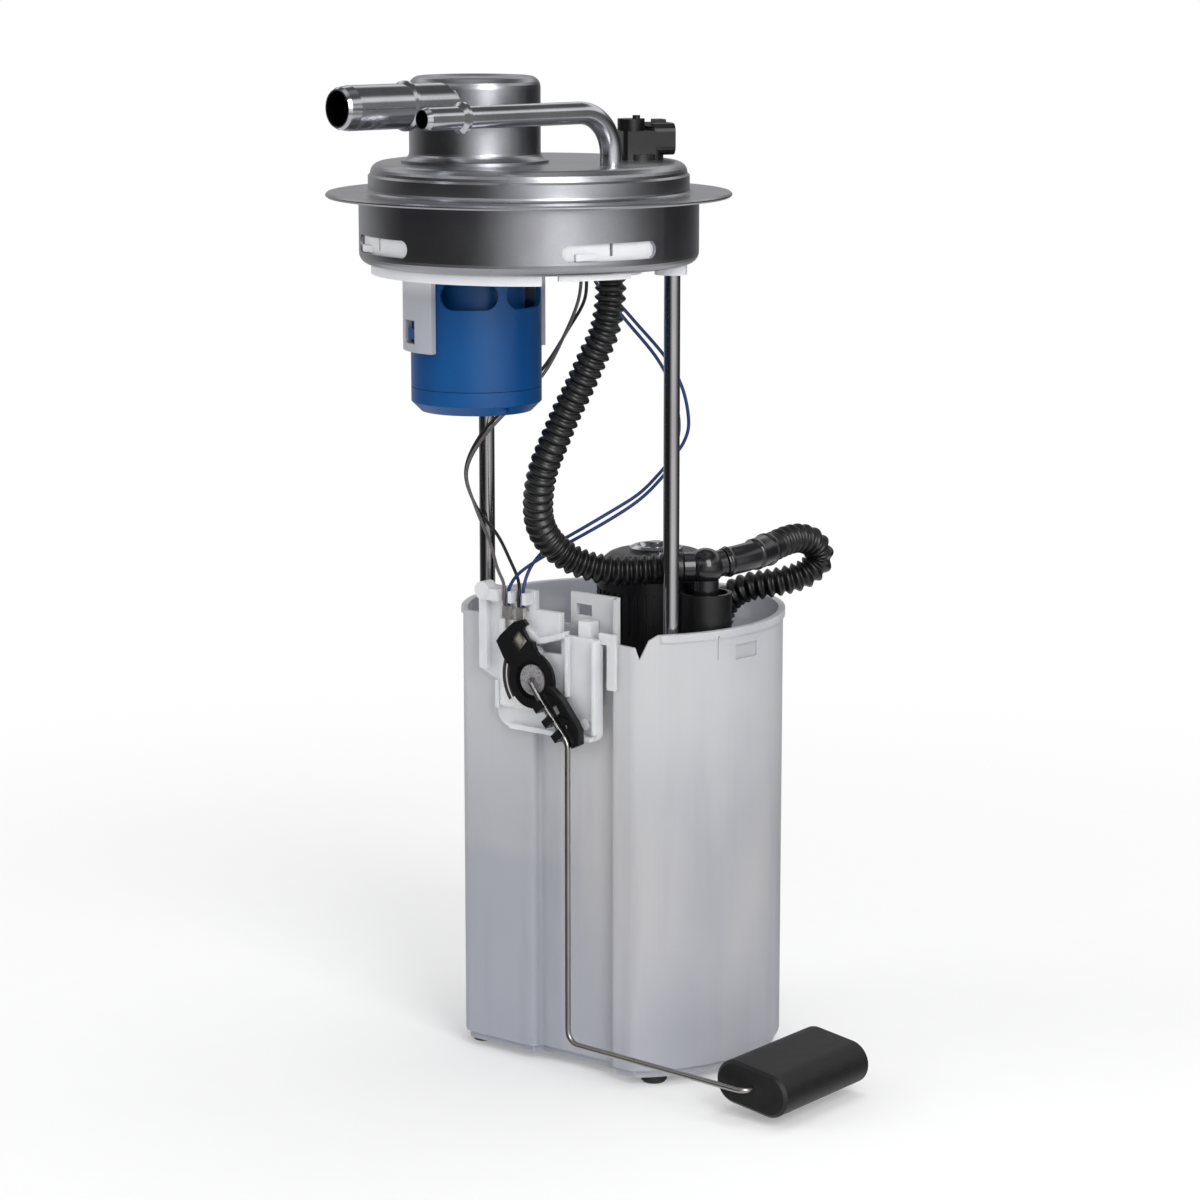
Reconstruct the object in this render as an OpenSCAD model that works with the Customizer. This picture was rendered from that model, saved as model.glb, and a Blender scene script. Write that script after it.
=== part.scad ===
// In-tank fuel pump module: a steel mounting cover with two struts and a
// white reservoir that slides on them, with its hoses, leads and level sender.
// Frame: +Z up, origin at the centre of the flange's underside, the face that
// seats on the tank. The reservoir's flat side and its sender face -Y.

/* [Mounting cover] */
// Outside diameter of the mounting flange
flange_d = 148; // [142:1:160]
// Thickness of the flange and dome sheet
sheet_t = 1.6; // [1.2:0.1:2.2]
// Diameter of the raised dome
dome_d = 117; // [112:1:119]
// Height of the dome's top above the seat
dome_h = 12.5; // [11:0.5:15]
// Radius of the dome's shoulder
shoulder_r = 4; // [2:0.5:6]
// Diameter of the skirt that enters the tank opening
skirt_d = 124; // [122:0.5:128]
// Depth of the skirt below the seat
skirt_h = 24; // [22:1:28]
// Thickness of the skirt sheet
skirt_t = 1.2; // [0.8:0.1:1.6]
// Outside radius of the skirt's rolled lower edge
skirt_roll = 4; // [3:0.5:5]
// Number of slots round the skirt
slot_count = 4; // [2:1:6]
// Height of one slot
slot_h = 6.2; // [5:0.2:8]
// Angle that one slot spans, in degrees
slot_arc = 35.5; // [20:1:45]

/* [Vapour can and ports] */
// Diameter of the vapour can
can_d = 47.6; // [42:1:50]
// Height of the can's top above the seat
can_top = 43.5; // [42:0.5:50]
// Sheet thickness of the can
can_t = 1.2; // [0.8:0.1:1.6]
// Sideways place of the can and the valve below it
can_x = -12; // [-14:0.5:-10]
// Place of the can towards the flat side
can_y = -16; // [-18:0.5:-14]
// Heading of both ports, in degrees from +X
port_heading = -100; // [-104:1:-96]
// Outside diameter of the vapour tube
vapor_d = 15.9; // [14:0.1:17]
// Height of the vapour tube's axis
vapor_z = 34; // [32:0.5:35]
// Sideways offset of the vapour tube from the can's axis
vapor_offset = 7; // [4:0.5:8]
// Reach of the vapour tube from the can's axis
vapor_reach = 67.5; // [62:0.5:80]
// Outside diameter of the feed tube
feed_d = 8; // [7.5:0.1:9.5]
// Sideways place of the feed tube's foot
feed_x = 38; // [36:0.5:40]
// Place of the feed tube's foot along Y
feed_y = 0; // [-2:0.5:2]
// Height of the feed tube's level run
feed_z = 31.5; // [30:0.5:34]
// Bend radius of the feed tube
feed_bend = 15; // [13:0.5:16]
// Reach of the feed tube from its foot
feed_reach = 86; // [80:1:94]
// Wall thickness of both tubes
tube_t = 0.9; // [0.6:0.1:1.2]

/* [Plug socket] */
// Sideways place of the socket on the dome
socket_x = 22; // [20:0.5:24]
// Place of the socket along Y
socket_y = 36; // [34:0.5:37]
// Heading of the socket's mouth, in degrees
socket_heading = 55; // [45:1:60]
// Width of the socket
socket_w = 17; // [15:0.5:18]
// Number of contact blades
blade_count = 4; // [2:1:5]

/* [Inner plate and vent valve] */
// Clearance between the plate's ring and the skirt
plate_fit = 0.3; // [0.2:0.1:0.5]
// Diameter of the vent valve
valve_d = 47.8; // [44:0.2:48]
// Depth of the valve's lower face below the seat
valve_low = 77.5; // [74:0.5:80]
// Height of the valve's lower cap
valve_cap_h = 9; // [8:0.5:12]
// Number of windows round the valve
window_count = 6; // [4:1:6]
// Height of one valve window
window_h = 10; // [8:0.5:12]
// Travel of the valve's float
valve_travel = 5; // [3:0.5:5]

/* [Struts] */
// Diameter of the strut rods
rod_d = 6; // [5.5:0.1:6.5]
// Distance of each rod from the centre line
rod_x = 44.5; // [44:0.1:45]
// Place of the rods along Y
rod_y = 27.8; // [27.5:0.1:28.5]
// Depth of the rods' lower ends
rod_low = 184; // [180:1:188]
// Radial running clearance of a rod in its guide
rod_clear = 0.08; // [0.05:0.01:0.1]
// Travel of the reservoir on the rods
travel = 45; // [30:1:50]
// Turns of one strut spring
spring_turns = 9; // [6:1:10]

/* [Reservoir] */
// Diameter of the reservoir
res_d = 123; // [122:0.5:124]
// Place of the reservoir's axis along Y
res_y = 55.8; // [55.5:0.1:56.3]
// Distance from the axis to the flat side
res_flat = 45.8; // [45.5:0.1:46.3]
// Wall of the reservoir
res_wall = 1.8; // [1.4:0.1:2]
// Depth of the reservoir's rim below the seat
res_rim = 160; // [158:1:162]
// Height of the reservoir's body
res_h = 170; // [166:1:174]
// Depth of the recess down the flat side
recess = 4; // [3.5:0.1:4.5]
// Height of the tall part of the flat side above the rim
upstand = 12.5; // [11:0.5:14]
// Diameter of one rubber foot
foot_d = 10; // [8:0.5:11]
// Height of a foot below the floor
foot_h = 3.2; // [2.8:0.2:5]

/* [Pump and hoses] */
// Outside diameter of the pump housing
pump_d = 44; // [43:0.5:44.5]
// Sideways place of the pump housing
pump_x = 15; // [14:0.5:15.5]
// Place of the pump housing along Y
pump_y = 57; // [56:0.5:58]
// Wall of the pump housing
pump_wall = 2.9; // [2.5:0.1:3.1]
// Diameter of the corrugated hoses over their crests
hose_d = 11.4; // [10:0.2:12]
// Depth of one corrugation
hose_groove = 1.3; // [0.8:0.1:1.6]
// Length of one corrugation
hose_pitch = 3.5; // [3:0.1:4.5]
// Diameter of one lead
lead_d = 1.6; // [1.4:0.1:1.8]

/* [Level sender] */
// Sideways place of the sender's pivot
hub_x = -2.3; // [-2.6:0.1:-2]
// Depth of the sender's pivot below the seat
hub_low = 181; // [180.5:0.1:181.5]
// Diameter of the sender's hub
hub_d = 21.6; // [21:0.2:22.4]
// Diameter of the float arm's wire
arm_d = 2.2; // [2:0.1:2.4]
// Place of the arm's plane along Y
arm_y = 1.6; // [1.4:0.1:1.7]
// Clearance of the arm's pivot end in its bore
pivot_clear = 0.05; // [0.03:0.01:0.1]
// Width of the float
float_w = 32; // [28:1:36]
// Height of the float
float_h = 16.5; // [15:0.5:18]
// Length of the float along its swivel axis
float_l = 54; // [46:1:58]

/* [Hidden] */
$fn = 72;
e = 0.01;

// Cover, derived
flange_r = flange_d / 2;
dome_r = dome_d / 2;
skirt_r = skirt_d / 2;
skirt_lip = skirt_r - skirt_roll;
can_r = can_d / 2;
slot_z = -15.8;
slot_start = -22;
seat_step = 0.4;
vent_r = 9;
cavity_r = dome_r - sheet_t;

// Inner plate, derived
plate_r = skirt_r - skirt_t - plate_fit;
plate_low = -skirt_h + skirt_roll + 0.5;
plate_t = 2.2;
lobe_r = skirt_lip - plate_fit;
lobe_low = -27.5;
arm_gap = 0.2;
arm_t = 2.6;
arm_low = -55;
arm_left = -114.5;
arm_right = 80;
lead_hole = [18.7, 12.5];

// Vent valve, derived
valve_r = valve_d / 2;
valve_top = -26;
neck_r = 12;
seal_t = 1.4;
window_span = 52;
cap_z = -valve_low + valve_cap_h;
puck_r = 15.8;
puck_low = cap_z + 2.3;
puck_h = 27;

// Struts, derived
rod_r = rod_d / 2;
rod_top = -12;
guide_r = 6.4;
chamber_r = 4.9;
collar_low = -res_rim - 16;
clip_t = 1.2;
clip_top = collar_low - 0.3;
chamber_low = -res_rim - 102;
spring_top = clip_top - clip_t;

// Reservoir, derived
res_r = res_d / 2;
res_low = -res_rim - res_h;
flat_y = res_y - res_flat;
base_h = 3;
floor_t = 5;
floor_z = res_low + floor_t;
corner_r = 5;
res_join = 39;
mouth_r = 2.2;
root_r = 1.5;
recess_x = [-7, 30];
upstand_x = [8, 34.5];
upstand_top = -res_rim + upstand;
tee = [46, 47, -138.5];

// Pump, derived
pump_r = pump_d / 2;
bore_r = pump_r - pump_wall;
lid_z = -150;
lid_top = -137;
regulator_r = 9;
cup_r = 10;
cup_top = -148.2;
jet = [24, 84];
jet_top = -174.3;
shell_r = bore_r - 0.1;
shell_top = -158;
shell_low = -268;

// Sender, derived
hub_r = hub_d / 2;
hub_z = -hub_low;
arm_r = arm_d / 2;
plate_y = flat_y - 2.5;
card_t = 0.9;
track_t = 0.15;
hub_front = 2.9;
rotor_back = 4.4;
rotor_core = 5.6;
clip_floor = arm_y + arm_r;
block_heading = 117;
lead_x = [-16.4, -9.55];
elbow = [18.6, -21.4];
swivel = [101.5, -139.5];
arm_path = [[hub_x, 9, hub_z], [hub_x, 2, hub_z],
    [hub_x + 6, arm_y, hub_z - 7.4], [hub_x + elbow[0], arm_y, hub_z + elbow[1]],
    [hub_x + elbow[0], arm_y, hub_z + swivel[1] + 2],
    [hub_x + swivel[0], arm_y, hub_z + swivel[1]],
    [hub_x + swivel[0], 14, hub_z + swivel[1]]];
float_axis = [hub_x + swivel[0], hub_z + swivel[1]];
float_face = 5;
float_tilt = 8;

// Routes of the hoses and leads, from the cover down
feed_route = [[feed_x, feed_y, -24.3], [38, -0.5, -36], [36.5, -2, -47],
    [32.5, -4, -57], [28, -5.5, -67], [23, -7, -77], [18.5, -8, -87],
    [13.5, -8, -97], [10, -7, -107], [7, -3.5, -117.5], [6, 2, -125.5],
    [8, 9, -132.5], [13, 15.5, -137], [20, 23, -139.5], [27.5, 29.8, -139.5],
    [33.5, 34.9, -139], [36.8, 37.9, -138.6], [tee[0] - 6.2, tee[1] - 6.2, tee[2]]];
loop_route = [[53.4, 77, -135], [53.8, 87, -133.4], [54.6, 94.5, -133.2],
    [56, 100.8, -135.1], [57.2, 104.4, -139.2], [57, 104.6, -143.4],
    [54.8, 101.4, -147], [51.6, 97.8, -149.2], [47.4, 94, -150.6],
    [42.4, 90.6, -151.8], [36, 87.6, -153.4], [29.6, 85.8, -157.2],
    [25.4, 84.6, -164], [jet[0], jet[1], jet_top + 0.3]];
cuff_route = [[49.7, 53.4, -137.5], [52.6, 60.2, -136.6], [53.8, 68, -135.8],
    [53.4, 77, -135]];
blue_front_route = [[23, 35, 7.2], [22, 26, -6], [20, 14.5, -16],
    [19.4, 12, -26], [20.5, 16, -34], [24.5, 26, -46], [29.5, 38.5, -61],
    [33, 44, -74], [34.2, 45.8, -88], [32, 43, -101],
    [29, 39.5, -107.5], [24, 33.5, -114.5], [15.5, 25.5, -122],
    [3.8, 15.8, -130.6], [-4.5, 9.6, -136.5], [-11.5, 6.4, -142.4],
    [-15.4, 5.8, -148.5], [-15.5, 5.8, -154.4]];
blue_rear_route = [[25, 35, 7.2], [24, 26, -6], [22, 14.5, -16],
    [21.4, 12.8, -26], [22.5, 17.5, -34], [26.6, 28, -46], [31.3, 40.5, -60],
    [34.8, 46.8, -72], [36.6, 48.6, -85], [34.9, 47.6, -93],
    [31.2, 44.8, -99.2], [28, 41, -105], [23.3, 35, -112], [15, 26.8, -119.2],
    [4.4, 17.9, -127.3], [-2, 13.5, -131.5], [-7, 11.4, -137],
    [-8.5, 8.6, -142], [-8.5, 6.2, -147.4], [-8.5, 5.8, -154.4]];
black_route = [[21, 35, 7.2], [20, 26, -6], [18, 14.3, -16], [17.3, 12.2, -26],
    [14.5, 14.2, -38], [4, 17.5, -50], [-12, 22.5, -66], [-30, 24.5, -81],
    [-44, 23, -94.8], [-51.5, 23.4, -109], [-46, 22.8, -121.6],
    [-31, 18, -131], [-20.5, 12.6, -138.5], [-14, 9.2, -144],
    [-11, 6.8, -148], [-10.6, 5.8, -151], [-10.6, 5.8, -154.4]];
grey_route = [[19, 35, 7.2], [18, 26, -6], [16, 14.5, -16], [15.6, 11.6, -26],
    [14, 11.2, -38], [4.5, 14.6, -52], [-10, 20, -68], [-27.5, 22, -82],
    [-42, 21.5, -96], [-49, 21, -109], [-44, 20.5, -122],
    [-33, 15.5, -133], [-24.5, 9.9, -141.6], [-19, 6.9, -146.2],
    [-17.7, 5.9, -150], [-17.6, 5.8, -154.4]];

// Vectors and routes
function unit(v) = v / norm(v);
function arc(c, r, a0, a1, n = 6) =
    [for (i = [0:n]) c + r * [cos(a0 + (a1 - a0) * i / n), sin(a0 + (a1 - a0) * i / n)]];
function blend(a, b, c, d, t) = 0.5 * (2 * b + (c - a) * t
    + (2 * a - 5 * b + 4 * c - d) * t * t + (3 * b - a - 3 * c + d) * t * t * t);
function smooth(p, n = 8) = let (q = len(p) - 1) concat([for (i = [0:q - 1], j = [0:n - 1])
    blend(p[max(i - 1, 0)], p[i], p[i + 1], p[min(i + 2, q)], j / n)], [p[q]]);
function lengths(p, i = 0, sum = 0, out = []) = i == len(p) ? out :
    let (s = i == 0 ? 0 : sum + norm(p[i] - p[i - 1])) lengths(p, i + 1, s, concat(out, [s]));
function column(p, l, k) = [for (i = [0:len(p) - 1]) [l[i], p[i][k]]];
// Points spaced evenly along a smoothed route
function stations(p, steps) = let (q = smooth(p), l = lengths(q), end = l[len(l) - 1],
    x = column(q, l, 0), y = column(q, l, 1), z = column(q, l, 2))
    [for (i = [0:steps]) let (s = end * i / steps) [lookup(s, x), lookup(s, y), lookup(s, z)]];
function route_length(p) = let (l = lengths(smooth(p))) l[len(l) - 1];
function headings(p) = let (q = len(p) - 1)
    [for (i = [0:q]) unit(p[min(i + 1, q)] - p[max(i - 1, 0)])];
// Sideways directions that turn as little as they can from ring to ring
function sides_along(t, i = 0, last = [1, 0, 0], out = []) = i == len(t) ? out :
    let (s = unit(last - (last * t[i]) * t[i])) sides_along(t, i + 1, s, concat(out, [s]));

// A tube swept along points, with one radius for each ring
module swept(p, radii, sides) {
    t = headings(p);
    s = sides_along(t, last = abs(t[0][0]) < 0.9 ? [1, 0, 0] : [0, 1, 0]);
    q = len(p) - 1;
    rings = [for (i = [0:q], j = [0:sides - 1]) let (a = 360 * j / sides)
        p[i] + radii[i] * (cos(a) * s[i] + sin(a) * cross(t[i], s[i]))];
    walls = [for (i = [0:q - 1], j = [0:sides - 1]) let (k = (j + 1) % sides,
        a = i * sides + j, b = i * sides + k, c = a + sides, d = b + sides)
        each [[a, c, b], [b, c, d]]];
    first = [for (j = [0:sides - 1]) j];
    last = [for (j = [sides - 1:-1:0]) q * sides + j];
    polyhedron(concat(rings), concat(walls, [first], [last]), convexity = 8);
}

// A corrugated hose: smooth ends, then crests and grooves of equal length
module corrugated(route) {
    folds = round(route_length(route) / hose_pitch);
    steps = folds * 4;
    crest = hose_d / 2;
    radii = [for (i = [0:steps]) i < 6 || i > steps - 6 || i % 4 == 0 || i % 4 == 1
        ? crest : crest - hose_groove];
    swept(stations(route, steps), radii, 12);
}

module lead(route) {
    steps = round(route_length(route) / 5);
    swept(stations(route, steps), [for (i = [0:steps]) lead_d / 2], 8);
}

module coil(r, wire_r, low, high, turns) {
    steps = turns * 12;
    path = [for (i = [0:steps]) [r * cos(i * 30), r * sin(i * 30),
        low + wire_r + (high - low - 2 * wire_r) * i / steps]];
    swept(path, [for (i = [0:steps]) wire_r], 6);
}

// A rod through points, with a true round bend at each inner point. Each bend
// reaches a little way inside the straight runs, so that they are one piece.
module bent_rod(p, r, bend_r) {
    q = len(p) - 1;
    poke = 2;
    d = [for (i = [0:q - 1]) unit(p[i + 1] - p[i])];
    turn = [for (i = [0:q]) i == 0 || i == q ? 0 : acos(min(1, d[i - 1] * d[i]))];
    cut = [for (i = [0:q]) bend_r[i] * tan(turn[i] / 2)];
    for (i = [0:q - 1]) {
        a = p[i] + d[i] * cut[i];
        long = norm(p[i + 1] - p[i]) - cut[i] - cut[i + 1];
        translate(a)
            rotate([0, acos(d[i][2]), atan2(d[i][1], d[i][0])])
                cylinder(h = long, r = r);
    }
    for (i = [1:q - 1]) {
        y = d[i - 1];
        x = unit((y - d[i]) - ((y - d[i]) * y) * y);
        z = cross(x, y);
        c = p[i] - y * cut[i] - x * bend_r[i];
        multmatrix([[x[0], y[0], z[0], c[0]], [x[1], y[1], z[1], c[1]],
            [x[2], y[2], z[2], c[2]], [0, 0, 0, 1]])
            rotate(-poke)
                rotate_extrude(angle = turn[i] + 2 * poke)
                    translate([bend_r[i], 0])
                        circle(r - 0.02);
    }
}

module ring(ro, ri, h) {
    difference() {
        cylinder(h = h, r = ro);
        translate([0, 0, -1])
            cylinder(h = h + 2, r = ri);
    }
}

// Wedge of an angle about Z, to keep part of a ring
module wedge(a0, a1, r, h) {
    n = ceil((a1 - a0) / 30);
    linear_extrude(h)
        polygon(concat([[0, 0]], arc([0, 0], r / cos((a1 - a0) / n / 2), a0, a1, n)));
}

// Mounting cover
module mounting_flange() {
    r = shoulder_r;
    step = 0.8;
    edge = 0.6;
    color("silver")
        difference() {
            rotate_extrude()
                polygon(concat(
                    [[0, dome_h]],
                    arc([dome_r - step - r, dome_h - r], r, 90, 0),
                    [[dome_r, dome_h - r - step], [dome_r, sheet_t + 1.5]],
                    arc([dome_r + 1.5, sheet_t + 1.5], 1.5, 180, 270, 3),
                    [[flange_r - edge, sheet_t], [flange_r, sheet_t - edge],
                     [flange_r, edge], [flange_r - edge, 0], [skirt_r + 0.2, 0],
                     [skirt_r + 0.2, seat_step], [cavity_r, seat_step],
                     [cavity_r, dome_h - r - step]],
                    arc([dome_r - step - r, dome_h - r], r - sheet_t, 0, 90),
                    [[0, dome_h - sheet_t]]));
            translate([can_x, can_y, 0])
                cylinder(h = dome_h + 1, r = vent_r);
            translate([feed_x, feed_y, 0])
                cylinder(h = dome_h + 1, r = feed_d / 2);
            translate([socket_x, socket_y, 0])
                cylinder(h = dome_h + 1, r = 7);
        }
}

module skirt() {
    roll = skirt_roll;
    color("silver")
        difference() {
            rotate_extrude()
                polygon(concat(
                    [[skirt_r - skirt_t, seat_step], [skirt_r, seat_step]],
                    arc([skirt_lip, roll - skirt_h], roll, 0, -90),
                    arc([skirt_lip, roll - skirt_h], roll - skirt_t, -90, 0)));
            for (i = [0:slot_count - 1])
                rotate(slot_start + i * 360 / slot_count)
                    translate([0, 0, slot_z])
                        wall_slot(skirt_r, skirt_t, slot_h, slot_arc);
        }
}

// A slot with round ends through a round wall, centred on +X
module wall_slot(r, wall, h, span) {
    half = span / 2 - asin(h / 2 / r);
    intersection() {
        translate([0, 0, -h / 2])
            wedge(-half, half, r + 4, h);
        translate([0, 0, -h / 2 - 1])
            ring(r + 2, r - wall - 1.5, h + 2);
    }
    for (a = [-half, half])
        rotate(a)
            translate([r - wall - 1, 0, 0])
                rotate([0, 90, 0])
                    cylinder(h = wall + 2.5, r = h / 2 + 0.04, $fn = 32);
}

module vapor_can() {
    r = 4;
    foot = 3;
    color("silver")
        translate([can_x, can_y, 0])
            difference() {
                rotate_extrude()
                    polygon(concat(
                        [[can_r - can_t, dome_h], [can_r + foot, dome_h],
                         [can_r + foot, dome_h + 1]],
                        arc([can_r + foot, dome_h + 1 + foot], foot, 270, 180),
                        arc([can_r - r, can_top - r], r, 0, 90),
                        [[can_r - r - 2, can_top - 0.8], [0, can_top - 0.8],
                         [0, can_top - 0.8 - can_t]],
                        [[can_r - r - 2, can_top - 0.8 - can_t]],
                        arc([can_r - r, can_top - r], r - can_t, 90, 0)));
                translate([0, 0, vapor_z])
                    rotate(port_heading)
                        translate([0, vapor_offset, 0])
                            rotate([0, 90, 0])
                                cylinder(h = can_d, r = vapor_d / 2);
            }
}

// A beaded tube end along +X: its mouth is at x = 0 and it runs back to x = -long
module tube_end(d, bead_d, bead, long) {
    r = d / 2;
    nose = 5;
    w = (bead_d - d) * 0.7;
    rotate([0, -90, 0])
        rotate_extrude()
            polygon([[r - 1.7, 0], [r - 1.2, 0], [r - 0.5, 1.2], [r, nose],
                [r, bead - w], [bead_d / 2, bead - w * 0.4],
                [bead_d / 2, bead + w * 0.4], [r, bead + w], [r, long],
                [r - tube_t, long], [r - tube_t, nose], [r - 1.5, 2]]);
}

module vapor_tube() {
    inner = sqrt(pow(can_r - can_t, 2) - pow(vapor_offset + vapor_d / 2, 2)) - 1;
    color("silver")
        translate([can_x, can_y, vapor_z])
            rotate(port_heading)
                translate([vapor_reach, vapor_offset, 0])
                    tube_end(vapor_d, vapor_d + 1.9, 30, vapor_reach - inner);
}

module feed_tube() {
    level = feed_reach - feed_bend;
    color("silver")
        difference() {
            union() {
                feed_run(feed_d / 2, 0);
                feed_level()
                    rotate([0, 90, 0])
                        rotate_extrude()
                            polygon([[0, 0], [feed_d / 2, 0], [feed_d / 2, level - 19.3],
                                [feed_d / 2 + 1.5, level - 18.1],
                                [feed_d / 2 + 1.5, level - 16.9],
                                [feed_d / 2, level - 15.7], [feed_d / 2, level - 2],
                                [feed_d / 2 - 0.6, level], [0, level]]);
            }
            feed_run(feed_d / 2 - tube_t, 1);
            feed_level()
                rotate([0, 90, 0])
                    cylinder(h = level + 1, r = feed_d / 2 - tube_t);
        }
}

// Start of the feed tube's level run
module feed_level() {
    translate([feed_x, feed_y, feed_z])
        rotate(port_heading)
            translate([feed_bend, 0, 0])
                children();
}

// Foot and bend of the feed tube. The bend reaches a little way inside the
// straight runs, so that they are one piece.
module feed_run(r, extra) {
    poke = 2;
    translate([feed_x, feed_y, -24 - extra])
        cylinder(h = 24 + feed_z - feed_bend + extra, r = r);
    translate([feed_x, feed_y, feed_z - feed_bend])
        rotate(port_heading)
            translate([feed_bend, 0, 0])
                rotate([90, 0, 0])
                    rotate(90 - poke)
                        rotate_extrude(angle = 90 + 2 * poke)
                            translate([feed_bend, 0])
                                circle(r - 0.02);
}

// Plug socket
module rounded_box(x, y, z, r) {
    linear_extrude(z)
        polygon(concat(arc([x[1] - r, y[1] - r], r, 0, 90, 4),
            arc([x[0] + r, y[1] - r], r, 90, 180, 4),
            arc([x[0] + r, y[0] + r], r, 180, 270, 4),
            arc([x[1] - r, y[0] + r], r, 270, 360, 4)));
}

module connector_body() {
    w = socket_w / 2;
    mouth = 12;
    color("#151515")
        translate([socket_x, socket_y, dome_h])
            rotate(socket_heading)
                difference() {
                    union() {
                        cylinder(h = 2, r = 9.5);
                        rounded_box([-7.5, 6.5], [-w, w], 10.5, 2);
                        translate([-2.5, 0, 10.5])
                            cylinder(h = 4.2, r = 5);
                        translate([-0.5, 0, 14.7])
                            cylinder(h = 1.2, r = 1.4, $fn = 24);
                        // Shroud round the blades, with its lock ramp on top
                        translate([mouth, 0, 1.6])
                            rotate([0, -90, 0])
                                rounded_box([0, 11.6], [-w, w], 8, 3);
                        translate([6, -3, 13])
                            cube([4, 6, 1.4]);
                        // Neck that passes through the dome
                        translate([0, 0, -5])
                            cylinder(h = 5 + e, r = 7);
                    }
                    translate([mouth + 1, 0, 3])
                        rotate([0, -90, 0])
                            rounded_box([0, 8.8], [-w + 1.6, w - 1.6], 9, 1.8);
                }
}

module connector_pins() {
    pitch = 3;
    color("silver")
        translate([socket_x, socket_y, dome_h])
            rotate(socket_heading)
                for (i = [0:blade_count - 1])
                    translate([4, (i - (blade_count - 1) / 2) * pitch - 0.8, 4.6])
                        cube([6, 1.6, 0.8]);
}

// Inner plate
module plate_band(a0, a1, low) {
    intersection() {
        translate([0, 0, low])
            ring(lobe_r, lobe_r - 2.5, plate_low - low + 1);
        translate([0, 0, low])
            wedge(a0, a1, lobe_r + 6, plate_low - low + 1);
    }
}

// One arm that hugs the valve, with a snap window for its barb
module valve_arm(heading, half) {
    inner = valve_r + arm_gap;
    rotate(heading)
        difference() {
            intersection() {
                translate([0, 0, arm_low])
                    ring(inner + arm_t, inner, plate_low - arm_low + 1);
                translate([0, 0, arm_low])
                    wedge(-half, half, inner + 12, plate_low - arm_low + 1);
            }
            translate([inner - 1, -4, arm_low + 3])
                cube([arm_t + 2, 8, 8.5]);
        }
}

module inner_plate() {
    boss_r = 6.5;
    color("#ececec")
        difference() {
            union() {
                translate([0, 0, plate_low])
                    cylinder(h = plate_t, r = plate_r);
                translate([0, 0, plate_low])
                    ring(plate_r, plate_r - 2.4, 12);
                plate_band(-138, -46, lobe_low);
                plate_band(-40, -12, lobe_low + 1.5);
                // Lug round the feed hose's top
                intersection() {
                    translate([feed_x, feed_y, lobe_low + 1.5])
                        cylinder(h = plate_low - lobe_low, r = 11);
                    translate([0, 0, lobe_low])
                        cylinder(h = 12, r = lobe_r);
                }
                // Rod bosses, kept inside the skirt's lip
                for (s = [-1, 1])
                    intersection() {
                        translate([s * rod_x, rod_y, -28])
                            cylinder(h = 22, r = boss_r);
                        translate([0, 0, -28])
                            cylinder(h = 22, r = lobe_r);
                    }
                translate([can_x, can_y, 0]) {
                    valve_arm(arm_left, 28);
                    valve_arm(arm_right, 22);
                }
                // Snap lugs that catch in the skirt's slots
                for (i = [0:slot_count - 1])
                    rotate(slot_start + i * 360 / slot_count)
                        translate([plate_r - 1.6, -14, slot_z - slot_h / 2 + 0.3])
                            cube([1.6, 8, 2.4]);
            }
            for (s = [-1, 1])
                translate([s * rod_x, rod_y, -40])
                    cylinder(h = 40 + rod_top, r = rod_r);
            translate([can_x, can_y, valve_top])
                cylinder(h = 20, r = neck_r + arm_gap);
            translate([can_x, can_y, -40])
                cylinder(h = 40 + valve_top, r = valve_r + arm_gap);
            translate([can_x, can_y, valve_top - e])
                cylinder(h = plate_low - valve_top + e, r = valve_r + arm_gap);
            translate([feed_x, feed_y, -40])
                cylinder(h = 60, r = hose_d / 2 + 0.6);
            translate([lead_hole[0], lead_hole[1], -40])
                cylinder(h = 60, r = 6);
            translate([socket_x, socket_y + 4, -40])
                cylinder(h = 60, r = 6);
            // Joint in the ring wall, seen through each slot
            for (i = [0:slot_count - 1])
                rotate(slot_start + i * 360 / slot_count)
                    translate([plate_r - 3.4, -0.6, plate_low + plate_t])
                        cube([4, 1.2, 12]);
        }
}

// Vent valve
module valve_housing() {
    wall = 1.8;
    sleeve_r = 18;
    color("#0b4a8c")
        translate([can_x, can_y, 0]) {
            difference() {
                translate([0, 0, cap_z])
                    cylinder(h = valve_top - cap_z, r = valve_r);
                translate([0, 0, cap_z - 1])
                    cylinder(h = valve_top - cap_z - 1, r = valve_r - wall);
                translate([0, 0, valve_top - 5])
                    cylinder(h = 10, r = 4);
                for (i = [0:window_count - 1])
                    rotate(i * 360 / window_count - 56)
                        translate([0, 0, valve_top - 3 - window_h / 2])
                            wall_slot(valve_r, wall, window_h, window_span);
            }
            // Sleeve that guides the float, and the seat nozzle above it
            translate([0, 0, cap_z])
                ring(sleeve_r, sleeve_r - 1.6, valve_top - 2 - cap_z + e);
            translate([0, 0, valve_top - 2 - 0.9])
                ring(6, 4, 1);
            // Neck up to the seal under the dome
            translate([0, 0, valve_top - e])
                ring(neck_r, vent_r, dome_h - sheet_t - seal_t - valve_top + e);
            // Barbs that snap into the plate's arms
            for (a = [arm_left, arm_right])
                rotate(a)
                    translate([valve_r - 0.5, -3, arm_low + 4.5])
                        cube([2.2, 6, 4]);
        }
}

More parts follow.
